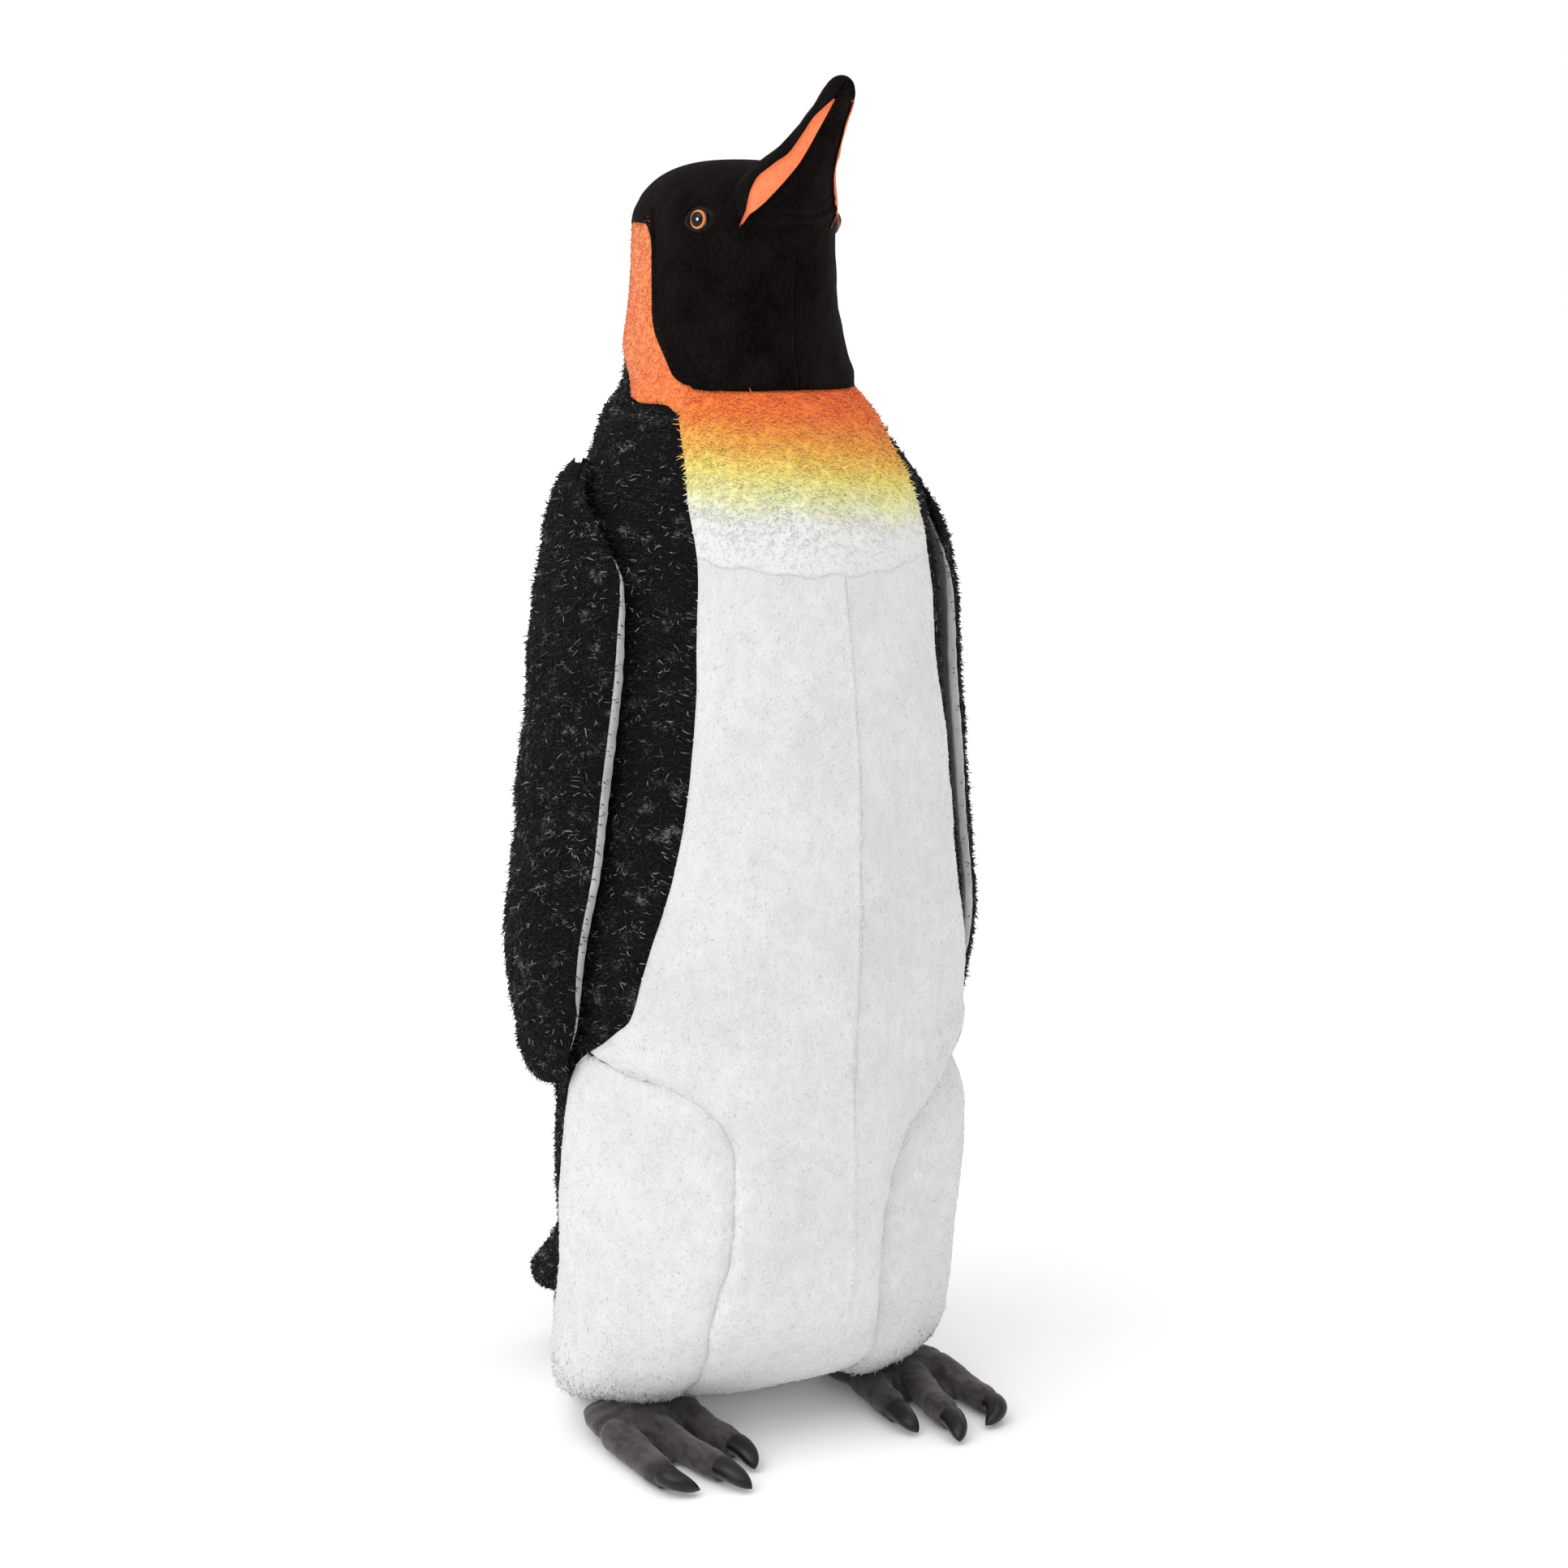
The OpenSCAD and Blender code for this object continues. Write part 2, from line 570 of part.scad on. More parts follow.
module claw(t) {
  way = (t[1] - t[0]) / norm(t[1] - t[0]);
  start = [t[1][0] + way[0] * 0.5, t[1][1] + way[1] * 0.5, 12];
  bend = start + [way[0], way[1], 0] * claw_l * 0.5;
  end = [t[2][0], t[2][1], 4];
  color("black") loft([for (s = [0, 0.2, 0.4, 0.6, 0.8, 0.93, 1])
    let (middle = start * pow(1 - s, 2) + bend * 2 * s * (1 - s) + end * s * s,
      run = (bend - start) * (1 - s) + (end - bend) * s, way = run / norm(run),
      across = cross(way, [0, 0, 1]) / norm(cross(way, [0, 0, 1])), rise = cross(across, way),
      r = max((1 - pow(s, 1.7)) * 10, 1.2))
    [for (i = [0:13]) let (a = -i * 360 / 14) middle + across * r * cos(a) + rise * r * 0.85 * sin(a)]]);
}

// The model's middle in Y is brought over the origin
home_y = -28;
module left() {
  translate([0, home_y, 0]) children();
}
module right() {
  mirror([1, 0, 0]) left() children();
}

left() body_stuffing();
left() ballast_bag();
left() base_board();
left() base_panel();
left() underside_panel();
left() seat_panel();
left() rump_panel();
left() back_panel();  // back_panel_l
right() back_panel();  // back_panel_r
left() chest_panel();
left() belly_panel(true);  // belly_panel_l
right() belly_panel(false);  // belly_panel_r
left() leg_panel(true);  // leg_panel_l
right() leg_panel(false);  // leg_panel_r
left() neck_band();  // neck_band_l
right() neck_band();  // neck_band_r
left() head_panel();  // head_panel_l
right() head_panel();  // head_panel_r
left() head_stuffing();
left() eye();  // eye_l
right() eye();  // eye_r
left() eye_washer();  // eye_washer_l
right() eye_washer();  // eye_washer_r
left() eyelid();  // eyelid_l
right() eyelid();  // eyelid_r
left() beak_upper();
left() beak_stripe();  // beak_stripe_l
right() beak_stripe();  // beak_stripe_r
left() beak_lower();
left() beak_stuffing();
left() flipper_outer();  // flipper_outer_l
right() flipper_outer();  // flipper_outer_r
left() flipper_lining();  // flipper_lining_l
right() flipper_lining();  // flipper_lining_r
left() flipper_stuffing();  // flipper_stuffing_l
right() flipper_stuffing();  // flipper_stuffing_r
left() tail_top();
left() tail_underside();
left() tail_stuffing();
left() foot_upper();  // foot_upper_l
right() foot_upper();  // foot_upper_r
left() foot_sole();  // foot_sole_l
right() foot_sole();  // foot_sole_r
left() foot_stuffing();  // foot_stuffing_l
right() foot_stuffing();  // foot_stuffing_r
left() claw(inner_toe);  // claw_inner_l
left() claw(middle_toe);  // claw_middle_l
left() claw(outer_toe);  // claw_outer_l
right() claw(inner_toe);  // claw_inner_r
right() claw(middle_toe);  // claw_middle_r
right() claw(outer_toe);  // claw_outer_r
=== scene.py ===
"""Looks of the plush penguin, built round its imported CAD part. Lengths are mm until a mesh is made."""
import json
import math

import bpy
import numpy as np
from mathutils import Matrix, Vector

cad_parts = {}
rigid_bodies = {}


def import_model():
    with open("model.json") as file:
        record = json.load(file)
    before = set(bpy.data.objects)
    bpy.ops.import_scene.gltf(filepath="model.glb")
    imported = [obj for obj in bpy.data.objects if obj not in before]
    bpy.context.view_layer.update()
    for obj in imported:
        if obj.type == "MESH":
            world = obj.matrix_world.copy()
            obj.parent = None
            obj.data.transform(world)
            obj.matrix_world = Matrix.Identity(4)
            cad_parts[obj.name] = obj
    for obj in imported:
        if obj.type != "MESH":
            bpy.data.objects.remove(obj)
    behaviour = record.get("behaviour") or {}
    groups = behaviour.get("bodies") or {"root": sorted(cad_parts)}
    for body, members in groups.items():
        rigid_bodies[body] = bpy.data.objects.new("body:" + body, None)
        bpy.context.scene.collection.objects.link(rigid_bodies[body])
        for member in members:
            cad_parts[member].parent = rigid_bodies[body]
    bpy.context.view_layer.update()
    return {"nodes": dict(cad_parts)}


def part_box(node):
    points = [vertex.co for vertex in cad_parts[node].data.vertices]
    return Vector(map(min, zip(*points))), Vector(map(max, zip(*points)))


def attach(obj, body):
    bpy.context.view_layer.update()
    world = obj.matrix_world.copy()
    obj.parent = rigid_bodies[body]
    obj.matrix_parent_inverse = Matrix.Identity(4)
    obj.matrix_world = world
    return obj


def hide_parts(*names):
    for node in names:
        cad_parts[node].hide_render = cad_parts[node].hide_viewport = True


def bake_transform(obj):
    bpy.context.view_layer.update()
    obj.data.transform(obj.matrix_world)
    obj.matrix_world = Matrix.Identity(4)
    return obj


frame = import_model()

MM = 0.001
RING_TOP, DOME_FROM, RING_WIDE, BASE_MIDDLE = 988, 930, 167, 87.5
# How the CAD's size stands to the plain measures in the tables below
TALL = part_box("head_panel_l")[1].z / (RING_TOP * MM)
WIDE = -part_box("leg_panel_r")[0].x / (RING_WIDE * MM)
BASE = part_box("base_panel")
HOME = (BASE[0].y + BASE[1].y) / 2 / MM - BASE_MIDDLE
CROWN = RING_TOP * TALL
DOME = DOME_FROM * TALL

# Rings of the body: height, centre in Y, half width, half depth to the front and to the back
RINGS = [
    [0, 85, 120, 45, 50], [12, 68, 140, 68, 78], [35, 36, 158, 90, 120], [60, 18, 163, 116, 146],
    [100, 6, 165, 138, 156], [140, 0, 165, 143, 156], [200, 0, 167, 146, 153], [260, 0, 166, 146, 150],
    [330, 0, 165, 150, 148], [400, 0, 165, 156, 146], [470, 0, 155, 157, 143], [530, 0, 149, 156, 139],
    [600, 0, 142, 148, 135], [650, 4, 142, 143, 130], [700, 10, 141, 140, 124], [740, 16, 138, 126, 120],
    [775, 25, 119, 114, 112], [800, 34, 106, 108, 104], [820, 37, 88, 96, 100], [850, 40, 82, 97, 98],
    [880, 42, 75, 98, 98], [910, 42, 72, 100, 98], [930, 42, 71, 100, 98], [988, 40, 71, 100, 98]]
# Seams: height, and the angle from the front in degrees
SIDE_SEAM = [
    [0, 106], [98, 104], [166, 100], [231, 96], [280, 92], [305, 88], [314, 84], [324, 77], [340, 69],
    [351, 64], [385, 60], [436, 55], [503, 51], [564, 49], [613, 48], [660, 46], [697, 45], [752, 46],
    [779, 50], [803, 53], [830, 54]]
LEG_WIDE = [
    [0, 34], [86, 37], [119, 38], [145, 36], [177, 33], [239, 32], [262, 33], [280, 37], [296, 45], [305, 54],
    [311, 66], [318, 81]]
LEG_SEAM_END = 318
LEG_CLOSE = [
    [0, 20], [73, 15], [113, 11], [155, 10], [193, 11], [236, 15], [262, 22], [280, 31], [296, 43], [305, 54],
    [311, 66], [318, 81]]
# Lower edge of the head and upper edge of the fur: angle from the front, and height
HEAD_EDGE = [
    [0, 820], [40, 820], [47, 821], [61, 830], [69, 847], [80, 872], [84, 900], [87, 928], [92, 942],
    [98, 944], [124, 944], [130, 935], [134, 880], [138, 862], [180, 861]]
FUR_EDGE = [[0, 803], [53, 803], [61, 808], [84, 811], [100, 829], [118, 848], [134, 856], [180, 858]]
HEM, SEAT, LEG_TOP, RUMP, BELLY_TOP, CHEST_TOP = [h * TALL for h in (35, 92, 316, 300, 690, 819)]
UNDER = 3.0
FUR_SINK = -3.0  # the fabric under the fur lies lower than the white panels


def mix(a, b, t):
    return a + (b - a) * t


def ease(t):
    t = np.clip(t, 0, 1)
    return t * t * (3 - 2 * t)


def curve(table, x):
    """Smooth curve through a table whose first column rises."""
    t = np.asarray(table, float)
    x = np.asarray(x, float)
    n = len(t)
    up, down = np.minimum(np.arange(n) + 1, n - 1), np.maximum(np.arange(n) - 1, 0)
    m = (t[up] - t[down]) / (t[up, 0] - t[down, 0])[:, None]
    i = np.clip(np.searchsorted(t[:, 0], x, side="right") - 1, 0, n - 2)
    w = (t[i + 1, 0] - t[i, 0])[..., None]
    s = np.clip((x[..., None] - t[i, 0][..., None]) / w, 0, 1)
    return ((2 * s**3 - 3 * s * s + 1) * t[i] + (s**3 - 2 * s * s + s) * m[i] * w
            + (3 * s * s - 2 * s**3) * t[i + 1] + (s**3 - s * s) * m[i + 1] * w)


def bell(x, width):
    return np.exp(-((x / width) ** 2))


def ring_at(z):
    return curve(RINGS, np.minimum(np.asarray(z) / TALL, RING_TOP))


def dome(z):
    """How much of its width the head keeps at a height."""
    t = np.clip((z - DOME) / (CROWN - DOME), 0, 1)
    return np.maximum(1 - t**2.5, 0) ** 0.4


def skin(phi, z, off=0.0):
    """Point on the body at an angle in degrees from the front, at a height, moved out by off."""
    phi, z = np.broadcast_arrays(np.asarray(phi, float), np.asarray(z, float))
    s = ring_at(z)
    d = dome(z)
    c, a = np.cos(np.radians(phi)), np.sin(np.radians(phi))
    depth = np.where(c > 0, s[..., 3], s[..., 4])
    return np.stack([np.maximum((s[..., 2] * WIDE + off) * d, 0.3) * a,
                     s[..., 1] - np.maximum((depth + off) * d, 0.3) * c + HOME, z], -1)


def side(z):
    return curve(SIDE_SEAM, np.asarray(z) / TALL)[..., 1]


def head_low(phi):
    return curve(HEAD_EDGE, np.abs(phi))[..., 1] * TALL


def fur_high(phi):
    return curve(FUR_EDGE, np.abs(phi))[..., 1] * TALL


def leg_edge(z, table):
    return np.where(z / TALL > LEG_SEAM_END, side(z), curve(table, np.asarray(z) / TALL)[..., 1])


def noise(a, b, size, seed):
    """Smooth bumps from -1 to 1 over a plane, about size apart."""
    rng = np.random.default_rng(seed)
    total = np.zeros(np.broadcast(a, b).shape)
    for k in range(7):
        t = rng.uniform(0, 2 * np.pi)
        f = 2 * np.pi / (size * rng.uniform(0.7, 1.6))
        total = total + np.sin((a * np.cos(t) + b * np.sin(t)) * f + rng.uniform(0, 6.3))
    return total / 3.5


def arc(phi, z):
    """Distance in mm round the body from its front, near enough for relief."""
    s = ring_at(z)
    return np.radians(phi) * (s[..., 2] + s[..., 3]) / 2


def line_distance(phi, z, table, sign):
    """Distance in mm from the seam of one leg."""
    zs = np.concatenate([np.linspace(20, 290, 60), np.linspace(292, 318, 30)]) * TALL
    line = np.stack([arc(sign * leg_edge(zs, table), zs), zs], -1)
    p = np.stack([arc(phi, z), z], -1)
    return np.sqrt(((p[..., None, :] - line) ** 2).sum(-1)).min(-1)


# Legs: side, seam, how far the leg stands out and over what reach, groove depth and width, swell at the foot
LEGS = ((-1, LEG_WIDE, 4.0, 16, 2.8, 4.5, 5.0), (1, LEG_CLOSE, 0.0, 11, 2.0, 5.0, 9.0))


def relief(phi, z):
    """How far the stuffed fabric stands out of the plain body surface."""
    x = arc(phi, z)
    body = ease((CHEST_TOP - z) / 60)
    r = 1.3 * noise(x, z, 90, 3) * body + 0.45 * noise(x, z, 28, 4) * body
    front = ease((z - 70) / 60) * ease((BELLY_TOP + 5 - z) / 40)
    r += front * (2.2 * bell(x, 30) + 1.3 * bell(x, 2.4) * (np.abs(x) < 12))
    for sign, table, set_out, reach, depth, width, foot in LEGS:
        mine = (np.sign(phi) == sign) & (z < 330 * TALL) & (np.abs(phi) < 115)
        d = np.where(mine, line_distance(phi, z, table, sign), 1e3)
        inside = (np.abs(phi) > leg_edge(z, table)) & (z < LEG_SEAM_END * TALL)
        puff = 1 - np.exp(-d / reach)
        swell = foot * puff * bell(z - 42, 34) * ease((120 - np.abs(phi)) / 40)
        r += np.where(mine & inside, set_out * puff * ease((z - 45) / 90) * ease((315 - z) / 60 + 0.25), 0)
        r += np.where(mine & inside, swell, 0)
        r += np.where(mine & ~inside, 2.6 * (1 - np.exp(-d / 14)) * np.exp(-d / 60), 0)
        r -= np.where(mine, depth * bell(d, width), 0)
        r += np.where(mine, 0.9 * np.exp(-d / 22) * np.sin(z / 5.5 + 2 * np.sin(z / 31.0)), 0)
    seam = np.abs(np.abs(phi) - side(z)) * np.abs(arc(1.0, z))
    r -= np.where(z < CHEST_TOP, 3.0 * bell(seam, 9), 0)
    return r


class Surf:
    """Grid of points with its normals, and the directions in which its columns and rows rise."""

    def __init__(self, p, u=None, v=None):
        self.p = p
        du, dv = np.gradient(p, axis=1), np.gradient(p, axis=0)
        n = np.cross(du, dv)
        size = np.linalg.norm(n, axis=-1, keepdims=True)
        weak = size[..., 0] < 1e-3
        n = n / np.maximum(size, 1e-9)
        n[weak] = (0, 0, 1)
        self.n = n
        self.du = du / np.maximum(np.linalg.norm(du, axis=-1, keepdims=True), 1e-9)
        self.dv = dv / np.maximum(np.linalg.norm(dv, axis=-1, keepdims=True), 1e-9)
        rows, cols = p.shape[:2]
        self.u = np.broadcast_to(np.linspace(0, 1, cols)[None, :], (rows, cols)) if u is None else u
        self.v = np.broadcast_to(np.linspace(0, 1, rows)[:, None], (rows, cols)) if v is None else v

    def moved(self, off):
        """The same grid moved along its normals."""
        return Surf(self.p + self.n * np.asarray(off)[..., None], self.u, self.v)


def mesh(name, points, faces, attributes=(), body="torso"):
    """Object of a mesh from points in mm and arrays of faces."""
    me = bpy.data.meshes.new(name)
    me.vertices.add(len(points))
    me.vertices.foreach_set("co", (np.asarray(points, float) * MM).ravel())
    faces = [f for f in faces if len(f)]
    loops = np.concatenate([f.ravel() for f in faces])
    sizes = np.concatenate([np.full(len(f), f.shape[1]) for f in faces])
    me.loops.add(len(loops))
    me.loops.foreach_set("vertex_index", loops.astype(np.int32))
    me.polygons.add(len(sizes))
    me.polygons.foreach_set("loop_start", np.concatenate([[0], np.cumsum(sizes)[:-1]]).astype(np.int32))
    me.polygons.foreach_set("loop_total", sizes.astype(np.int32))
    me.polygons.foreach_set("use_smooth", np.ones(len(sizes), bool))
    me.update(calc_edges=True)
    me.validate()
    for key, values in attributes:
        me.attributes.new(key, "FLOAT", "POINT").data.foreach_set("value", np.asarray(values, np.float32))
    ob = bpy.data.objects.new(name, me)
    bpy.context.scene.collection.objects.link(ob)
    if body:
        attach(ob, body)
    return ob


def grid_faces(rows, cols, closed=False):
    """Quads between the neighbours of a grid. A closed one joins its last column to its first."""
    i, j = np.meshgrid(np.arange(rows - 1), np.arange(cols if closed else cols - 1), indexing="ij")
    k = (j + 1) % cols
    corners = [i * cols + j, i * cols + k, (i + 1) * cols + k, (i + 1) * cols + j]
    return np.stack(corners, -1).reshape(-1, 4)


def sheet_piece(name, surf, roll=7.0, ends=True, body="torso", slot=None, node=None, extra=()):
    """A fabric panel whose open edges turn inwards by roll."""
    p = surf.p
    wall = p - surf.n * roll
    if ends:
        p = np.concatenate([wall[:1], p, wall[-1:]], 0)
        wall = np.concatenate([wall[:1], wall, wall[-1:]], 0)
    p = np.concatenate([wall[:, :1], p, wall[:, -1:]], 1)
    ob = mesh(name, p.reshape(-1, 3), [grid_faces(*p.shape[:2])], body=body)
    finish_piece(ob, slot, node, extra)
    return ob


def finish_piece(ob, slot=None, node=None, extra=()):
    """Gives a piece the material of its slot, and hides the CAD node it stands for and the extra ones it covers,
    such as its stuffing.
    """
    if slot:
        ob.data.materials.append(MATERIALS[slot])
    if node:
        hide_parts(node, *extra)


def panel(first, last, low, high, step=4.0, crown=False):
    """Grid over the body between two edges, which give an angle at a height, and two ends."""
    z0, z1 = float(low(0.0)), float(CROWN if crown else high(0.0))
    mid = (z0 + z1) / 2
    wide = abs(float(arc(last(mid), mid) - arc(first(mid), mid)))
    n, m = max(int(wide / step), 6), max(int((z1 - z0) / step), 6)
    u = np.linspace(0, 1, n + 1)[None, :]
    v = np.linspace(0, 1, m + 1)[:, None]
    z_low = low(mix(first(z0), last(z0), u))
    if crown:
        v = 1 - (1 - v) ** 1.8
        z_high = np.full_like(u, CROWN)
    else:
        z_high = high(mix(first(z1), last(z1), u))
    z = mix(z_low, z_high, v)
    phi = mix(first(z), last(z), u)
    return phi, z


def scatter(surf, spacing, seed):
    """Random places over a grid, about spacing apart: points, normals, the two directions, and u and v."""
    rng = np.random.default_rng(seed)
    p = surf.p
    a, b, c, d = p[:-1, :-1], p[:-1, 1:], p[1:, 1:], p[1:, :-1]
    area = np.linalg.norm(np.cross(c - a, d - b), axis=-1).ravel() / 2
    count = int(area.sum() / spacing**2)
    cell = np.searchsorted(np.cumsum(area) / area.sum(), rng.uniform(0, 1, count))
    cell = np.minimum(cell, len(area) - 1)
    i, j = np.divmod(cell, p.shape[1] - 1)
    s, t = rng.uniform(0, 1, (2, count))

    def at(g):
        g = g if g.ndim == 3 else g[..., None]
        s_, t_ = s[:, None], t[:, None]
        low = g[i, j] * (1 - s_) + g[i, j + 1] * s_
        high = g[i + 1, j] * (1 - s_) + g[i + 1, j + 1] * s_
        return low * (1 - t_) + high * t_

    out = [at(g) for g in (surf.p, surf.n, surf.du, surf.dv)]
    for k in (1, 2, 3):
        out[k] = out[k] / np.maximum(np.linalg.norm(out[k], axis=1, keepdims=True), 1e-9)
    return (*out, at(surf.u)[:, 0], at(surf.v)[:, 0], rng)


def unit(v):
    return v / np.maximum(np.linalg.norm(v, axis=-1, keepdims=True), 1e-9)


THIRD = 2.0944  # a third of a turn


def tufts(name, p, way, bend, length, width, tone, root=1.5, body="torso"):
    """Short bent locks of pile as one mesh, each a prism of seven points. The material reads tone."""
    n = len(p)
    way, bend = unit(way), unit(bend)
    a = unit(np.cross(way, bend) + 1e-4)
    b = np.cross(way, a)
    length, width = np.asarray(length)[:, None], np.asarray(width)[:, None]
    start = p - way * root
    knee = p + way * length * 0.5 + bend * length * 0.12
    tip = p + way * length * 0.78 + bend * length * 0.55
    turn = [(math.cos(k * THIRD), math.sin(k * THIRD)) for k in range(3)]
    low = np.stack([start + (a * c + b * s) * width for c, s in turn], 1)
    mid = np.stack([knee + (a * c + b * s) * width * 0.8 for c, s in turn], 1)
    points = np.concatenate([low, mid, tip[:, None]], 1).reshape(-1, 3)
    k = np.arange(n)[:, None] * 7
    quads = np.concatenate([k + np.array([[j, (j + 1) % 3, 3 + (j + 1) % 3, 3 + j]]) for j in range(3)])
    tris = np.concatenate([k + np.array([[3 + j, 3 + (j + 1) % 3, 6]]) for j in range(3)])
    return mesh(name, points, [quads, tris], [("tone", np.repeat(tone, 7))], body=body)


# ---- Materials ----
MATERIALS = {}


def shader(name, base, rough=0.9, **sockets):
    """New plain material of that name, kept in MATERIALS. Returns its node tree and its shader node."""
    m = MATERIALS[name] = bpy.data.materials.new(name)
    m.use_nodes = True
    tree = m.node_tree
    out = tree.nodes["Principled BSDF"]
    out.inputs["Base Color"].default_value = (*base, 1)
    out.inputs["Roughness"].default_value = rough
    for key, value in sockets.items():
        out.inputs[key.replace("_", " ")].default_value = value
    return tree, out


def node(tree, kind, inputs=(), **settings):
    """Adds a node. Each input takes either a socket to link or a value."""
    n = tree.nodes.new(kind)
    for key, value in settings.items():
        setattr(n, key, value)
    for key, value in inputs:
        if isinstance(value, bpy.types.NodeSocket):
            tree.links.new(value, n.inputs[key])
        else:
            n.inputs[key].default_value = value
    return n


def noise_at(tree, scale, stretch=(1, 1, 1), detail=3.0, rough=0.55):
    """Noise over the object's own coordinates, in features per metre."""
    where = node(tree, "ShaderNodeTexCoord").outputs["Object"]
    place = node(tree, "ShaderNodeMapping", [("Vector", where), ("Scale", stretch)]).outputs[0]
    inputs = [("Vector", place), ("Scale", scale), ("Detail", detail), ("Roughness", rough)]
    return node(tree, "ShaderNodeTexNoise", inputs).outputs["Fac"]


def blend_colour(tree, fac, low, high, start=0.35, end=0.65):
    """Mixes two colours by a value, between start and end."""
    span = node(tree, "ShaderNodeMapRange", [("Value", fac), ("From Min", start), ("From Max", end)])
    mixed = node(tree, "ShaderNodeMix", [(0, span.outputs[0])], data_type="RGBA")
    for socket, value in ((mixed.inputs[6], low), (mixed.inputs[7], high)):
        if isinstance(value, bpy.types.NodeSocket):
            tree.links.new(value, socket)
        else:
            socket.default_value = (*value, 1)
    return mixed.outputs[2]


def bumped(tree, out, heights):
    """Adds bump from pairs of a height value and its distance in mm, one over the other."""
    normal = None
    for value, depth in heights:
        b = node(tree, "ShaderNodeBump", [("Height", value), ("Distance", depth * MM), ("Strength", 1.0)])
        if normal is not None:
            tree.links.new(normal, b.inputs["Normal"])
        normal = b.outputs[0]
    tree.links.new(normal, out.inputs["Normal"])


def ramp(tree, fac, stops):
    """Colour ramp from pairs of a position and a colour."""
    n = node(tree, "ShaderNodeValToRGB", [("Fac", fac)])
    band = n.color_ramp.elements
    while len(band) < len(stops):
        band.new(0.5)
    for e, (at, colour) in zip(band, stops):
        e.position = at
        e.color = (*colour, 1)
    return n.outputs[0]


def fabric(name, low, high, rough=1.0, nap=(900, (1, 1, 0.35), 0.7), soft=(160, (1, 1, 1), 1.2), broad=12,
           **sockets):
    """Short plush: two tones, fine nap and a softer mottling. nap and soft are scale, stretch and depth."""
    tree, out = shader(name, low, rough, **sockets)
    fine = noise_at(tree, nap[0], nap[1], 2.0)
    wide = noise_at(tree, soft[0], soft[1], 4.0)
    patch = noise_at(tree, broad, detail=2.0)
    tone = node(tree, "ShaderNodeMath", [(0, wide), (1, patch)], operation="ADD").outputs[0]
    tree.links.new(blend_colour(tree, tone, low, high, 0.75, 1.25), out.inputs["Base Color"])
    bumped(tree, out, [(wide, soft[2]), (fine, nap[2])])


def fur_material(name, dark, pale, **sockets):
    """Locks of pile whose tone is stored on the mesh."""
    tree, out = shader(name, dark, 0.9, **sockets)
    tone = node(tree, "ShaderNodeAttribute", attribute_name="tone").outputs["Fac"]
    tree.links.new(blend_colour(tree, tone, dark, pale, 0.0, 1.0), out.inputs["Base Color"])


WOBBLE = 7.0 * MM
GRADED = [
    (0.0, (0.80, 0.805, 0.81)), (0.17, (0.84, 0.84, 0.80)), (0.29, (0.91, 0.91, 0.56)),
    (0.42, (0.98, 0.86, 0.28)), (0.55, (0.98, 0.62, 0.13)), (0.68, (1.0, 0.42, 0.085)),
    (0.80, (1.0, 0.27, 0.06)), (1.0, (0.95, 0.18, 0.05))]


def graded(tree, out):
    """The chest's run from white through yellow to red-orange at its top, on a wavering height."""
    where = node(tree, "ShaderNodeTexCoord").outputs["Object"]
    xyz = node(tree, "ShaderNodeSeparateXYZ", [("Vector", where)])
    low = noise_at(tree, 22, detail=2.0)
    fine = noise_at(tree, 130, detail=2.0)
    z = xyz.outputs[2]
    for value, gain in ((xyz.outputs[0], 0.1), (low, WOBBLE * 2.2), (fine, WOBBLE * 1.6)):
        z = node(tree, "ShaderNodeMath", [(0, value), (1, gain), (2, z)], operation="MULTIPLY_ADD").outputs[0]
    z = node(tree, "ShaderNodeMath", [(0, z), (1, WOBBLE * 1.9)], operation="SUBTRACT").outputs[0]
    span = [("Value", z), ("From Min", 0.700 * TALL), ("From Max", 0.825 * TALL)]
    share = node(tree, "ShaderNodeMapRange", span).outputs[0]
    tree.links.new(ramp(tree, share, GRADED), out.inputs["Base Color"])


NEAR_BLACK = (0.0055, 0.005, 0.0055)
fabric("white_plush", (0.67, 0.675, 0.69), (0.77, 0.77, 0.78), nap=(1000, (1, 1, 0.35), 0.8),
       soft=(110, (1, 1, 0.7), 1.5), Sheen_Weight=0.25, Sheen_Roughness=0.5, Specular_IOR_Level=0.15)
fabric("orange_plush", (0.93, 0.205, 0.055), (1.0, 0.30, 0.085), nap=(900, (1, 1, 0.5), 0.8),
       soft=(240, (1, 1, 1), 1.0), Sheen_Weight=0.3, Specular_IOR_Level=0.15)
fabric("black_velour", (0.0026, 0.0014, 0.0014), (0.010, 0.0065, 0.0065), rough=0.85, nap=(1500, (1, 1, 0.3), 0.7),
       soft=(420, (1, 1, 0.6), 0.8), broad=30, Sheen_Weight=0.03, Sheen_Roughness=0.3, Specular_IOR_Level=0.03)
fabric("throat_velour", (0.019, 0.0115, 0.0115), (0.058, 0.037, 0.038), rough=0.85, nap=(1300, (1, 1, 0.06), 0.9),
       soft=(420, (1, 1, 0.3), 0.6), broad=30, Sheen_Weight=0.08, Sheen_Roughness=0.3, Specular_IOR_Level=0.1)
fabric("coral_velour", (0.90, 0.225, 0.085), (0.98, 0.30, 0.125), rough=0.9, nap=(1400, (1, 1, 1), 0.35),
       soft=(300, (1, 1, 1), 0.35), Sheen_Weight=0.25, Specular_IOR_Level=0.2)
fabric("grey_lining", (0.34, 0.335, 0.345), (0.52, 0.515, 0.53), rough=0.55, nap=(1200, (1, 1, 0.2), 0.35),
       soft=(120, (1, 1, 0.4), 0.9), Sheen_Weight=0.4, Specular_IOR_Level=0.4)
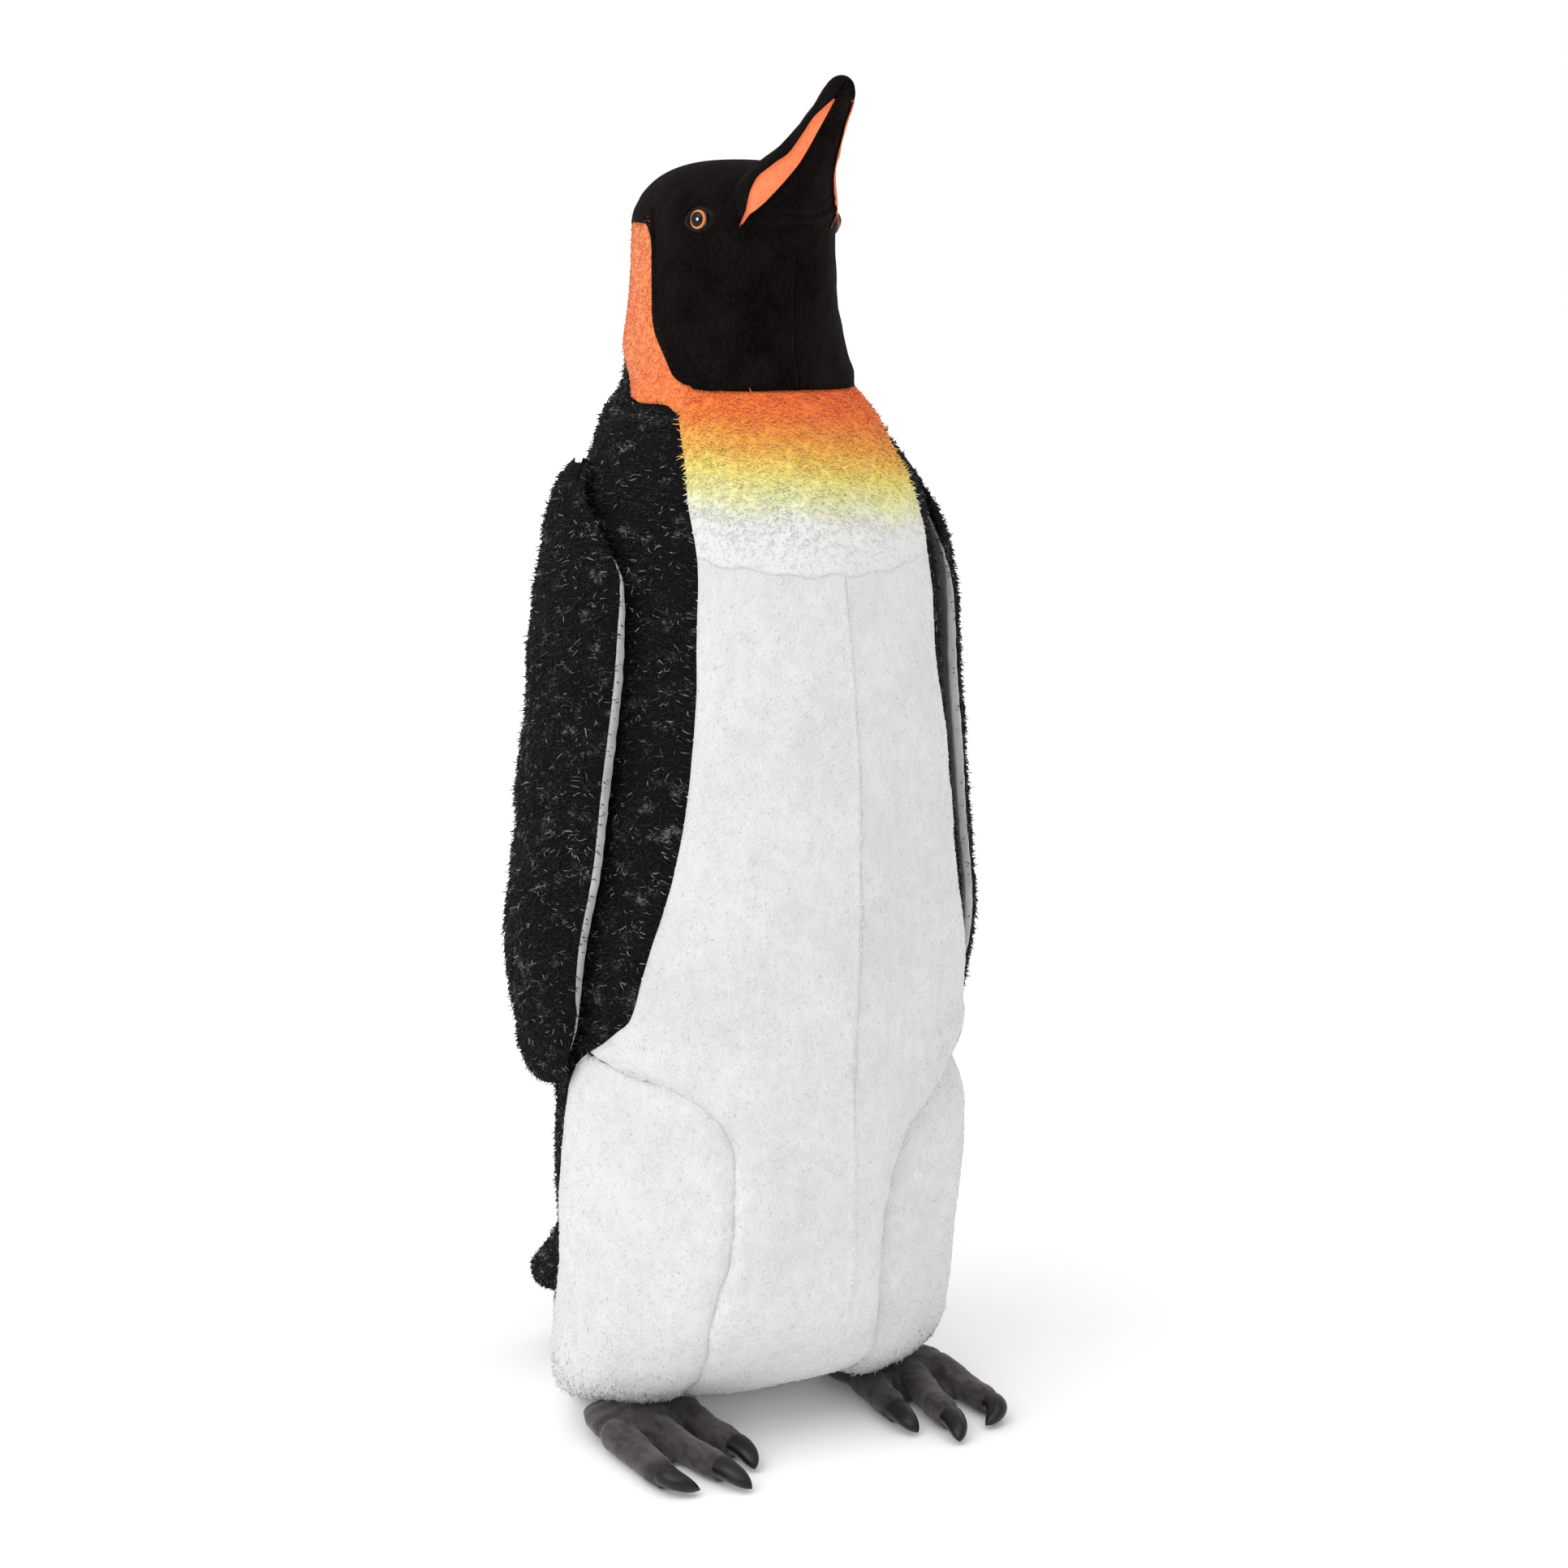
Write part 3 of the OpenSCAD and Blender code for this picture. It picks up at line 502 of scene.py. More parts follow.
fabric("foot_velour", (0.024, 0.019, 0.021), (0.082, 0.072, 0.078), rough=0.9, nap=(1300, (1, 0.3, 1), 0.6),
       soft=(170, (1, 0.35, 1), 1.0), broad=40, Sheen_Weight=0.35, Sheen_Roughness=0.4, Specular_IOR_Level=0.2)
fabric("fibre_fill", (0.7, 0.69, 0.66), (0.82, 0.81, 0.78))
fabric("ballast_cloth", (0.5, 0.43, 0.33), (0.58, 0.5, 0.4))
fabric("base_stiffener", (0.45, 0.35, 0.22), (0.52, 0.42, 0.28))
fur_material("fur_lock", NEAR_BLACK, (0.30, 0.30, 0.315), Specular_IOR_Level=0.12, Sheen_Weight=0.06)
fur_material("white_lock", (0.80, 0.805, 0.82), (0.90, 0.90, 0.91), Specular_IOR_Level=0.15, Sheen_Weight=0.2)
shader("washer_plastic", (0.75, 0.75, 0.73), 0.4)

tree_, out_ = shader("speckled_fur", (0.006, 0.005, 0.006), 0.95, Specular_IOR_Level=0.12)
dash_ = noise_at(tree_, 330, (1, 1, 2.2), 3.0, 0.7)
clump_ = noise_at(tree_, 48, (1, 1, 1.5), 2.0)
both_ = node(tree_, "ShaderNodeMath", [(0, dash_), (1, clump_)], operation="ADD").outputs[0]
tree_.links.new(blend_colour(tree_, both_, NEAR_BLACK, (0.17, 0.17, 0.18), 1.13, 1.36), out_.inputs["Base Color"])
bumped(tree_, out_, [(noise_at(tree_, 150), 2.0), (dash_, 1.5)])

tree_, out_ = shader("graded_plush", (0.8, 0.8, 0.8), 1.0, Specular_IOR_Level=0.15)
graded(tree_, out_)
bumped(tree_, out_, [(noise_at(tree_, 200), 2.0), (noise_at(tree_, 700), 1.0)])
graded(*shader("chest_lock", (0.8, 0.8, 0.8), 0.95, Specular_IOR_Level=0.2, Sheen_Weight=0.3))

tree_, out_ = shader("lid_velour", (0.003, 0.0025, 0.0025), 0.5, Specular_IOR_Level=0.12)
bumped(tree_, out_, [(noise_at(tree_, 500), 0.4)])
tree_, out_ = shader("claw_vinyl", (0.006, 0.005, 0.005), 0.32, Specular_IOR_Level=0.3, Coat_Weight=0.12,
                     Coat_Roughness=0.15)
bumped(tree_, out_, [(noise_at(tree_, 60, (1, 1, 1)), 0.5), (noise_at(tree_, 400), 0.06)])

# The eye's ring of colour lies between the black pupil and the black rim
IRIS = [(0.0, (0.002, 0.001, 0.001)), (0.66, (0.002, 0.001, 0.001)), (0.73, (0.22, 0.075, 0.016)),
        (0.80, (0.44, 0.16, 0.045)), (0.88, (0.10, 0.03, 0.01)), (1.0, (0.006, 0.003, 0.002))]
tree_, out_ = shader("eye_plastic", (0.01, 0.005, 0.003), 0.05, Specular_IOR_Level=0.2)
ring_ = node(tree_, "ShaderNodeAttribute", attribute_name="ring").outputs["Fac"]
tree_.links.new(ramp(tree_, ring_, IRIS), out_.inputs["Base Color"])

# The inner pieces of the CAD keep their shape and take a finish of their own
INSIDE = {
    "fibre_fill": ("body_stuffing", "head_stuffing", "beak_stuffing", "tail_stuffing", "flipper_stuffing_l",
                   "flipper_stuffing_r", "foot_stuffing_l", "foot_stuffing_r"),
    "ballast_cloth": ("ballast_bag",),
    "base_stiffener": ("base_board",),
    "washer_plastic": ("eye_washer_l", "eye_washer_r")}
for slot_, names_ in INSIDE.items():
    for name_ in names_:
        data_ = frame["nodes"][name_].data
        data_.materials.clear()
        data_.materials.append(MATERIALS[slot_])


def dress(ob, slot, material=None):
    """Gives a piece the material of its slot, or another material."""
    ob.data.materials.append(MATERIALS[material or slot])
    return ob


# ---- Fur ----
def flecks(rng, p, share, size=11.0):
    """Tone of each lock: mostly black, with pale ones gathered in clumps."""
    flat = p[:, 2] * 1.6
    clump = noise(p[:, 0] + p[:, 1], flat, size * 2.2, 21) + 0.8 * noise(p[:, 0] - p[:, 1], flat, size, 22)
    pale = rng.uniform(0, 1, len(p)) < np.clip(share * (0.35 + 2.2 * clump), 0.01, 1)
    return np.where(pale, rng.uniform(0.1, 1.0, len(p)) ** 1.3, rng.uniform(0, 0.05, len(p)))


def fur(name, surf, spacing, length, seed, slot="speckled_fur", material="fur_lock", lean=None, share=0.13,
        stand=0.5, down=-0.3, body="torso", width=0.5, spread=1.0, keep=None, tone=None, grow=None):
    """Curly pile over a grid. lean gives more lean along the columns and rows, from u and v."""
    p, n, du, dv, u, v, rng = scatter(surf, spacing, seed)
    if keep is not None:
        k = keep(p, u, v, rng)
        p, n, du, dv, u, v = p[k], n[k], du[k], dv[k], u[k], v[k]
    a, b = rng.uniform(-spread, spread, (2, len(p)))
    if lean is not None:
        la, lb = lean(u, v)
        a, b = a + la, b + lb
    way = n * stand + du * a[:, None] + dv * (b * 0.6 + down)[:, None]
    bend = unit(rng.normal(0, 1, (len(p), 3))) * 0.8 + du * (a * 1.2)[:, None] - n * 0.5
    size = length * rng.uniform(0.65, 1.25, len(p)) * (1 if grow is None else grow(u, v))
    t = flecks(rng, p, share) if tone is None else tone(p, rng)
    ob = tufts(name, p, way, bend, size, width * rng.uniform(0.7, 1.3, len(p)), t, body=body)
    return dress(ob, slot, material)


# ---- Body ----
def level(h):
    return lambda phi: np.full(np.shape(phi), float(h))


def angle_of(value):
    return lambda z: np.full(np.shape(z), float(value))


def minus(f):
    return lambda z: -f(z)


def behind(z):
    return 360 - side(z)


def make_panel(name, first, last, low, high, slot, off=0.0, step=4.0, roll=7.0, crown=False,
               extra_relief=None, extra=()):
    """Builds one fabric panel of the body and returns its grid."""
    phi, z = panel(first, last, low, high, step, crown)
    s = Surf(skin(phi, z)).moved(relief(phi, z) + off)
    if extra_relief is not None:
        s = s.moved(extra_relief(phi, z))
    sheet_piece(name, s, roll=roll, slot=slot, node=name, extra=extra)
    return s


def chest_low(phi):
    """The chest's lower edge hangs lower in the middle and wavers."""
    return BELLY_TOP - 5 + 8 * (np.abs(phi) / 35) ** 2 + 1.6 * noise(phi * 2.6, 0 * phi, 30, 12)


def lap(z):
    """The centre seam closes up towards the legs."""
    return 0.35 * ease((330 - np.asarray(z, float)) / 90)


def left_leg_relief(phi, z):
    """The left leg is set back behind the belly in front and swells at its side."""
    d = line_distance(phi, z, LEG_CLOSE, 1)
    r = -17.0 * np.exp(-d / 34) * ease((z - 38) / 60) * ease((320 * TALL - z) / 26)
    swell = bell(z - 255, np.where(z > 255, 28, 60))
    return r + (9.0 * swell - 3.0 * ease((z - 60) / 60)) * ease((phi - 25) / 40)


def belly_high(phi):
    return chest_low(phi) + 8


def leg_front_r(z):
    return 0.4 - leg_edge(z, LEG_WIDE)


def leg_front_l(z):
    """The set-back leg starts some degrees under the belly's edge, so that no gap shows."""
    return leg_edge(z, LEG_CLOSE) - 4 * ease((z - 45) / 60)


def neck_high(phi):
    return head_low(phi) + 5


belly_r = make_panel("belly_panel_r", lambda z: -leg_edge(z, LEG_WIDE), lap, level(HEM), belly_high,
                     "white_plush")
belly_l = make_panel("belly_panel_l", minus(lap), lambda z: leg_edge(z, LEG_CLOSE), level(HEM), belly_high,
                     "white_plush", roll=19.0)
leg_r = make_panel("leg_panel_r", minus(side), leg_front_r, level(HEM), level(LEG_TOP), "white_plush")
leg_l = make_panel("leg_panel_l", leg_front_l, side, level(HEM), level(LEG_TOP), "white_plush",
                   extra_relief=left_leg_relief)
make_panel("underside_panel", minus(side), side, level(UNDER), level(HEM), "white_plush", off=-1.5,
           extra=("ballast_bag", "base_board"))
seat_s = make_panel("seat_panel", side, behind, level(UNDER), level(SEAT), "white_plush")
rump_s = make_panel("rump_panel", side, behind, level(SEAT), level(RUMP), "speckled_fur", off=FUR_SINK)
back_l = make_panel("back_panel_l", side, angle_of(180), level(RUMP), fur_high, "speckled_fur",
                    off=FUR_SINK)
back_r = make_panel("back_panel_r", angle_of(-180), minus(side), level(RUMP), fur_high, "speckled_fur",
                    off=FUR_SINK, extra=("body_stuffing",))
chest_s = make_panel("chest_panel", minus(side), side, chest_low, level(CHEST_TOP + 4), "graded_plush",
                     off=0.4, step=3.0)
neck_l = make_panel("neck_band_l", angle_of(53), angle_of(131), fur_high, neck_high, "orange_plush",
                    step=2.5)
neck_r = make_panel("neck_band_r", angle_of(-131), angle_of(-53), fur_high, neck_high, "orange_plush",
                    step=2.5)


def head_relief(phi, z):
    """The bib's rolled lower edge in front, the raised edge over the orange patch, and the throat seam."""
    edge = z - head_low(phi)
    x = arc(phi, z)
    r = np.where(edge < 26, 4.0 * ease(1 - np.abs(edge - 7) / 19), 0) * ease((62 - np.abs(phi)) / 12)
    r += 1.5 * ease((14 - edge) / 10)
    below = ease((925 * TALL - z) / 40)
    r -= 1.6 * bell(x, 1.6) * below
    r += (0.8 * noise(x, z, 60, 8) + 0.3 * noise(x, z, 17, 9)) * ease((CROWN - z) / 30)
    return r


for tag, from_, extra_ in (("l", 0, ()), ("r", -180, ("head_stuffing",))):
    make_panel(f"head_panel_{tag}", angle_of(from_), angle_of(from_ + 180), lambda a: head_low(a) - 4,
               level(CROWN), "black_velour", step=2.6, crown=True, extra_relief=head_relief, roll=5.0,
               extra=extra_)
bpy.data.objects["head_panel_l"].data.materials[0] = MATERIALS["throat_velour"]

# The bottom: a flat oval with a soft edge
turns = np.radians(np.arange(0, 360, 4))
oval = skin(np.degrees(turns), 1.0)
centre = oval.mean(0)
rows = [centre + (oval - centre) * s + np.array([0, 0, h]) for s, h in
        ((0.02, 3.5), (0.9, 4.4), (0.985, 4.2), (1.0, 2.2), (0.985, 0.2), (0.9, -1.0), (0.02, -1.0))]
rows = [np.column_stack([r[:, 0], r[:, 1], np.maximum(r[:, 2], 0.0)]) for r in rows]
base = mesh("base_panel", np.concatenate(rows), [grid_faces(len(rows), len(turns), closed=True)])
finish_piece(base, "white_plush", "base_panel")


# ---- Fur of the body: it leans over the edges of its panel within EDGE mm ----
BACK_W, RUMP_W, RUMP_H, CHEST_H, LEG_H, EDGE = 330.0, 460, 208, 130, 280, 9.0


def back_lean_r(u, v):
    return 2.2 * np.exp(-(1 - u) * BACK_W / EDGE), 0 * u


def back_lean_l(u, v):
    return -2.2 * np.exp(-u * BACK_W / EDGE), 0 * u


def rump_lean(u, v):
    a = 2.0 * np.exp(-(1 - u) * RUMP_W / EDGE) - 2.0 * np.exp(-u * RUMP_W / EDGE)
    return a, -1.6 * np.exp(-v * RUMP_H / EDGE)


fur("back_fur_r", back_r, 3.0, 5.5, 31, lean=back_lean_r)
fur("back_fur_l", back_l, 3.4, 5.5, 32, lean=back_lean_l)
fur("rump_fur", rump_s, 3.3, 5.0, 33, lean=rump_lean)


def any_tone(p, rng):
    return rng.uniform(0, 1, len(p))


def chest_lean(u, v):
    return 0 * u, -1.3 * np.exp(-v * CHEST_H / 14)


def chest_keep(p, u, v, rng):
    """The curls thin out downwards, and end below the head."""
    return (v < 0.94) & (rng.uniform(0, 1, len(v)) < 0.3 + 0.7 * ease(v / 0.5))


fur("chest_curls", chest_s, 1.9, 5.5, 34, slot="graded_plush", material="chest_lock", lean=chest_lean,
    down=-0.4, width=0.55, spread=0.9, tone=any_tone, keep=chest_keep, grow=lambda u, v: 0.3 + 0.7 * ease(v / 0.5))
for name_, surf_, spacing_, seed_ in (("neck_pile_r", neck_r, 1.8, 35), ("neck_pile_l", neck_l, 2.2, 36)):
    fur(name_, surf_, spacing_, 2.0, seed_, slot="orange_plush", material="orange_plush", stand=0.6, down=-0.5,
        width=0.4, tone=any_tone)
for name_, surf_, seed_ in (
        ("belly_nap_r", belly_r, 81), ("belly_nap_l", belly_l, 82), ("leg_nap_r", leg_r, 83),
        ("leg_nap_l", leg_l, 84), ("seat_nap", seat_s, 85)):
    fur(name_, surf_, 4.0, 1.9, seed_, slot="white_plush", material="white_lock", stand=0.2, down=-0.7,
        width=0.5, spread=0.7, tone=any_tone)


def hem_only(p, u, v, rng):
    return rng.uniform(0, 1, len(p)) < np.exp(-v * LEG_H / EDGE)


def hem_lean(u, v):
    return 0 * u, -1.5 + 0 * v


for name_, surf_, seed_ in (("leg_hem_r", leg_r, 37), ("leg_hem_l", leg_l, 38)):
    fur(name_, surf_, 1.5, 6.0, seed_, slot="white_plush", material="white_lock", lean=hem_lean, stand=0.35,
        keep=hem_only, tone=any_tone, spread=0.6)


# ---- Flippers ----
FLIP_TOP, FLIP_TIP, FLIP_W, FLIP_T, FLIP_GAP, FLIP_EDGE = 764.0, 288.0, 126.0, 36.0, 4.0, 6.0
# Share of the length, shares of the full width and thickness, and the middle in Y
FLIPPER = [
    [0, 0.27, 0.3, 33], [0.05, 0.45, 0.42, 28], [0.12, 0.75, 0.58, 18], [0.17, 0.9, 0.7, 12],
    [0.23, 0.96, 0.82, 11.5], [0.36, 1, 0.96, 15], [0.52, 1, 1, 18], [0.68, 0.97, 0.98, 20],
    [0.82, 0.88, 0.9, 23], [0.92, 0.74, 0.76, 26], [0.97, 0.57, 0.6, 27], [1, 0.34, 0.4, 28]]


def flipper_point(angle, share):
    """Point of a left flipper, laid round the body. The angle runs round its section, 90 being outside."""
    f = curve(FLIPPER, share)
    a_, z = np.radians(angle), mix(FLIP_TOP, FLIP_TIP, share)
    half = FLIP_W / 2 * f[..., 1]
    edge = FLIP_EDGE * np.minimum(1, f[..., 2] + 0.3)
    bulge = np.maximum(FLIP_T * f[..., 2] - FLIP_EDGE, edge)
    y = f[..., 3] - half * np.cos(a_)
    s = curve(RINGS, z / TALL)
    depth = np.where(y < s[..., 1], s[..., 3], s[..., 4])
    around = np.degrees(np.arccos(np.clip((s[..., 1] - y) / depth, -1, 1)))
    sin = np.sin(a_)
    outside = bulge * np.maximum(sin, 0) ** 0.85 * (1 - 0.35 * np.cos(a_))
    lift = np.where(sin >= 0, outside, -edge * np.maximum(-sin, 0) ** 0.45)
    p = skin(around, z, 0)
    flat = skin(around, z, 1) - p
    flat[..., 2] = 0
    return p + unit(flat) * (FLIP_GAP + FLIP_EDGE + lift)[..., None]


# Angle round the flipper's section at which the fur meets the lining in front, at each share of the length
FUR_END = [
    [0, -60], [0.08, -55], [0.13, -30], [0.18, 2], [0.26, 12], [0.6, 12], [0.82, 7], [0.9, -15], [1, -60]]
FUR_START = 190
FLIP_COLUMNS, LINING_COLUMNS, FLIP_ROWS, LINING_FROM = 64, 40, 130, 0.035


def flipper_grid(is_lining, mirror):
    """Grid of one side of a flipper, with its rows closer together at both ends."""
    share = np.concatenate([[0], np.cumsum(np.sin(np.linspace(0.25, 2.9, FLIP_ROWS)))])
    share = (share / share[-1])[:, None]
    if is_lining:
        share = LINING_FROM + (1 - LINING_FROM) * share
    front = curve(FUR_END, share[:, 0])[:, 1:]
    t = np.linspace(0, 1, LINING_COLUMNS if is_lining else FLIP_COLUMNS)[None, :]
    angle = mix(360 + front, FUR_START, t) if is_lining else mix(FUR_START, front, t)
    p = flipper_point(*np.broadcast_arrays(angle, share))
    if mirror:
        p = (p * np.array([-1, 1, 1]))[:, ::-1]
    return Surf(p)


def flip_lean(mirror):
    """Fur leans over the front edge a little and hangs over the tip."""
    def lean(u, v):
        rear = u if mirror else 1 - u
        return (-1.3 if mirror else 1.3) * np.exp(-rear * 19), 1.2 * np.exp(-(1 - v) * 33)
    return lean


# The sewn root of a flipper, which way it hangs from there, and over how many metres a bend there would run. The
# ends of that bend are worked out below but nothing uses them.
ROOT_X, ROOT_Y, ROOT_Z, HANG_Y, HANG_Z, BEND = 0.124, 0.002, 0.764, 0.679, 0.734, 0.045
for tag, mirror, sign, body, spacing_, seed_ in (
        ("l", False, 1, "flipper_left", 3.3, 45), ("r", True, -1, "flipper_right", 2.9, 44)):
    outer = flipper_grid(False, mirror)
    y_, z_ = outer.p[..., 1], outer.p[..., 2]
    puff = 1.6 * noise(y_, z_, 60, 41) + 0.6 * noise(y_, z_, 22, 42)
    outer = outer.moved(puff * np.sin(np.pi * outer.u) - 2.0)
    lining = flipper_grid(True, mirror)
    lining = lining.moved(0.4 * noise(lining.p[..., 1], lining.p[..., 2], 18, 43) - 0.5)
    made = [
        sheet_piece(f"flipper_outer_{tag}", outer, roll=3.0, body=None, slot="speckled_fur",
                    node=f"flipper_outer_{tag}", extra=(f"flipper_stuffing_{tag}",)),
        sheet_piece(f"flipper_lining_{tag}", lining, roll=1.5, body=None, slot="grey_lining",
                    node=f"flipper_lining_{tag}"),
        fur(f"flipper_fur_{tag}", outer, spacing_, 5.5, seed_, lean=flip_lean(mirror), down=0.35, body=None)]
    start = (sign * ROOT_X, ROOT_Y, ROOT_Z)
    end = (sign * ROOT_X, ROOT_Y + HANG_Y * BEND, ROOT_Z - HANG_Z * BEND)
    for ob in made:
        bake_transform(ob)

# ---- Tail ----
TAIL_ROOT_Z, TAIL_ROOT_H, TAIL_W, TAIL_SQUARE = 126 * TALL, 68.0, 240.0, 4.4
TAIL_TIP = np.array([0, 216.0 + HOME, 62 * TALL])
TAIL_BODY = 0.7  # share of the length before the rounded end


def tail_point(angle, share):
    a = np.radians(angle)
    half = TAIL_W / 2
    up = np.sign(np.sin(a)) * np.sqrt(np.maximum(1 - np.abs(np.cos(a)) ** TAIL_SQUARE, 0))
    x, z = half * np.cos(a), TAIL_ROOT_Z + TAIL_ROOT_H * up
    s = curve(RINGS, z / TALL)
    back = s[..., 1] + s[..., 4] * np.sqrt(np.maximum(1 - (x / (s[..., 2] * WIDE)) ** 2, 0)) + HOME
    root = np.stack([x, back - 2.0, z], -1)
    end = TAIL_TIP + np.stack([(half - 6) * np.cos(a), -18 + 0 * a, 30 * up + 6], -1)
    last = TAIL_TIP + np.stack([(half - 24) * np.cos(a), 0 * a, 2 * up], -1)
    t = np.clip(share / TAIL_BODY, 0, 1)[..., None]
    w = np.clip((share - TAIL_BODY) / 0.3, 0, 1)[..., None]
    first = mix(root, end, t)
    turn_ = w * np.pi / 2
    return np.where(w > 0, end + (last - end) * np.concatenate(
        [1 - np.cos(turn_), np.sin(turn_), 1 - np.cos(turn_)], -1), first)


for name_, (a0, a1) in (("tail_top", (0, 180)), ("tail_underside", (180, 360))):
    share_ = np.linspace(0, 1, 40)[:, None]
    angle_ = np.linspace(a1, a0, 70)[None, :]
    tail = Surf(tail_point(*np.broadcast_arrays(angle_, share_)))
    if (tail.n[20, 35, 2] > 0) != (name_ == "tail_top"):
        tail = Surf(tail.p[:, ::-1])
    lump = 2.0 * noise(tail.p[..., 0], tail.p[..., 1], 55, 51) * np.sin(np.pi * tail.u)
    tail = tail.moved(lump - 2.0)
    ob = sheet_piece(name_, tail, roll=2.0, body=None, slot="speckled_fur", node=name_,
                     extra=("tail_stuffing",) if name_ == "tail_top" else ())
    locks = fur(f"{name_}_fur", tail, 2.9, 4.5, 52 + len(name_), down=0.4, body=None, share=0.25)
    for o in (ob, locks):
        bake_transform(o)

# ---- Beak ----
BEAK_L, BEAK_RISE = 122.0, math.radians(40)
BEAK_FROM = np.array([0, -40.0 + HOME, 960 * TALL])
BEAK_WAY = np.array([0, -math.cos(BEAK_RISE), math.sin(BEAK_RISE)])
BEAK_UP = np.array([0, math.sin(BEAK_RISE), math.cos(BEAK_RISE)])
# Share of the length, half width, half height and lift of the middle
BEAK = [
    [0, 39, 28, -1], [0.15, 33, 25, -2], [0.3, 25.5, 20.5, -2.5], [0.5, 18.5, 16, -2], [0.7, 14, 12.5, -0.5],
    [0.85, 11.5, 10.7, 1], [0.9, 10.6, 10.0, 1.3]]
# Share of the length, and the angles at which the coral stripe starts and ends
STRIPE = [
    [0, -27, -25], [0.04, -33, -17], [0.11, -38, -7], [0.2, -41, -1], [0.33, -44, -5], [0.43, -47, -14],
    [0.55, -48, -16], [0.7, -50, -17], [0.82, -51, -30], [0.91, -51, -46], [1, -50, -48]]
BEAK_ROUND = 0.9  # share of the length before the rounded tip


def inside_body(p):
    s = curve(RINGS, np.clip(p[..., 2] / TALL, 0, RING_TOP))
    d = dome(p[..., 2])
    y = p[..., 1] - HOME - s[..., 1]
    a, b = s[..., 2] * WIDE * d + 0.5, np.where(y < 0, s[..., 3], s[..., 4]) * d + 0.5
    return (p[..., 2] < CROWN) & ((p[..., 0] / a) ** 2 + (y / b) ** 2 < 1)


def meet(p, q):
    """Where the line from p, inside the body, to q, outside, leaves the body."""
    for _ in range(18):
        m = (p + q) / 2
        hit = inside_body(m)[..., None]
        p, q = np.where(hit, p, m), np.where(hit, m, q)
    return p


def beak_point(angle, share):
    r = curve(BEAK, np.minimum(share, BEAK_ROUND))
    r[..., 1:3] *= np.sqrt(np.maximum(1 - (np.maximum(share - BEAK_ROUND, 0) / 0.1) ** 2, 0))[..., None]
    c, s = np.cos(np.radians(angle)), np.sin(np.radians(angle))
    power = np.where(s < 0, mix(0.55, 1, np.minimum(share * 3, 1)), 1)
    p = (BEAK_FROM + BEAK_WAY * BEAK_L * share[..., None]
         + np.array([1.0, 0, 0]) * (r[..., 1] * np.sign(c) * np.abs(c) ** power)[..., None]
         + BEAK_UP * (r[..., 3] + r[..., 2] * np.sign(s) * np.abs(s) ** power)[..., None])
    root = meet(p + BEAK_WAY * 80, p - BEAK_WAY * 60) - BEAK_WAY * 3
    return np.where((share <= 0)[..., None], root, p)


BEAK_SHARES = np.concatenate([
    np.linspace(0, BEAK_ROUND, 46), np.linspace(0.91, 0.98, 8), [0.985, 0.99, 0.994, 0.997, 1.0]])


def beak_part(name, first, last, count, slot, until=1.0, extra=()):
    """One panel of the beak between two angles, given from the rows of the stripe's table."""
    share = BEAK_SHARES[BEAK_SHARES <= until][:, None]
    e = curve(STRIPE, share[:, 0])
    lo, hi = first(e)[:, None], last(e)[:, None]
    angle = mix(hi, lo, np.linspace(0, 1, count)[None, :])
    angle, share = np.broadcast_arrays(angle, share)
    surf = Surf(beak_point(angle, share))
    edge = np.minimum(surf.u, 1 - surf.u) * np.linalg.norm(surf.p[:, :1] - surf.p[:, -1:], axis=-1)
    fold = 0.9 * bell(share - 0.1, 0.1) * np.sin(share * BEAK_L / 1.7 + 1.5 * np.sin(np.radians(angle) * 3))
    rise = 0.35 * noise(angle * 0.5, share * BEAK_L, 20, 61)
    if slot == "black_velour":
        rise = rise + fold * (angle > 180)
    rise = (rise - 0.7 * bell(edge, 1.2)) * ease((0.97 - share) / 0.1)
    surf = surf.moved(rise)
    return sheet_piece(name, surf, roll=1.5, slot=slot, node=name, extra=extra, ends=False)


beak_part("beak_upper", lambda e: e[:, 2], lambda e: 180 - e[:, 2], 36, "black_velour")
beak_part("beak_lower", lambda e: 180 - e[:, 1], lambda e: 360 + e[:, 1], 70, "black_velour",
          extra=("beak_stuffing",))
beak_part("beak_stripe_l", lambda e: e[:, 1], lambda e: e[:, 2], 24, "coral_velour", until=0.905)
beak_part("beak_stripe_r", lambda e: 180 - e[:, 2], lambda e: 180 - e[:, 1], 24, "coral_velour", until=0.905)

# ---- Eyes ----
EYE_R, EYE_H, EYE_PHI, EYE_Z, LIFT = 8.0, 4.6, 55.0, 942, 0.75
HEAD_R = 78.0  # radius of the head about the eyes
CAP_R = (EYE_R**2 + EYE_H**2) / (2 * EYE_H)
EYE_AT = skin(EYE_PHI, EYE_Z * TALL)
ACROSS = unit(skin(EYE_PHI + 4, EYE_Z * TALL) - skin(EYE_PHI - 4, EYE_Z * TALL))
RISE = unit(skin(EYE_PHI, (EYE_Z + 4) * TALL) - skin(EYE_PHI, (EYE_Z - 4) * TALL))
OUT = unit(np.cross(ACROSS, RISE))
TILT = math.radians(8)
LONG = ACROSS * math.cos(TILT) - RISE * math.sin(TILT)
TALLER = RISE * math.cos(TILT) + ACROSS * math.sin(TILT)
# Rings of an eyelid: growth, lift, and how far it has settled from the eye's dome to the head
LID = [
    (0.84, -1.4, 0), (0.95, -0.2, 0), (1.0, 0.5, 0), (1.05, 1.0, 0), (1.1, 1.1, 0.1), (1.17, 1.0, 0.35),
    (1.25, 0.6, 0.7), (1.35, -0.2, 1.0), (1.45, -3.0, 1.0)]
LID_W, LID_H = 9.6, 7.6


def eye_height(r):
    """Height of the domed eye over the head, at a distance from its middle."""
    return np.sqrt(np.maximum(CAP_R**2 - r**2, 0)) - (CAP_R - EYE_H) + LIFT


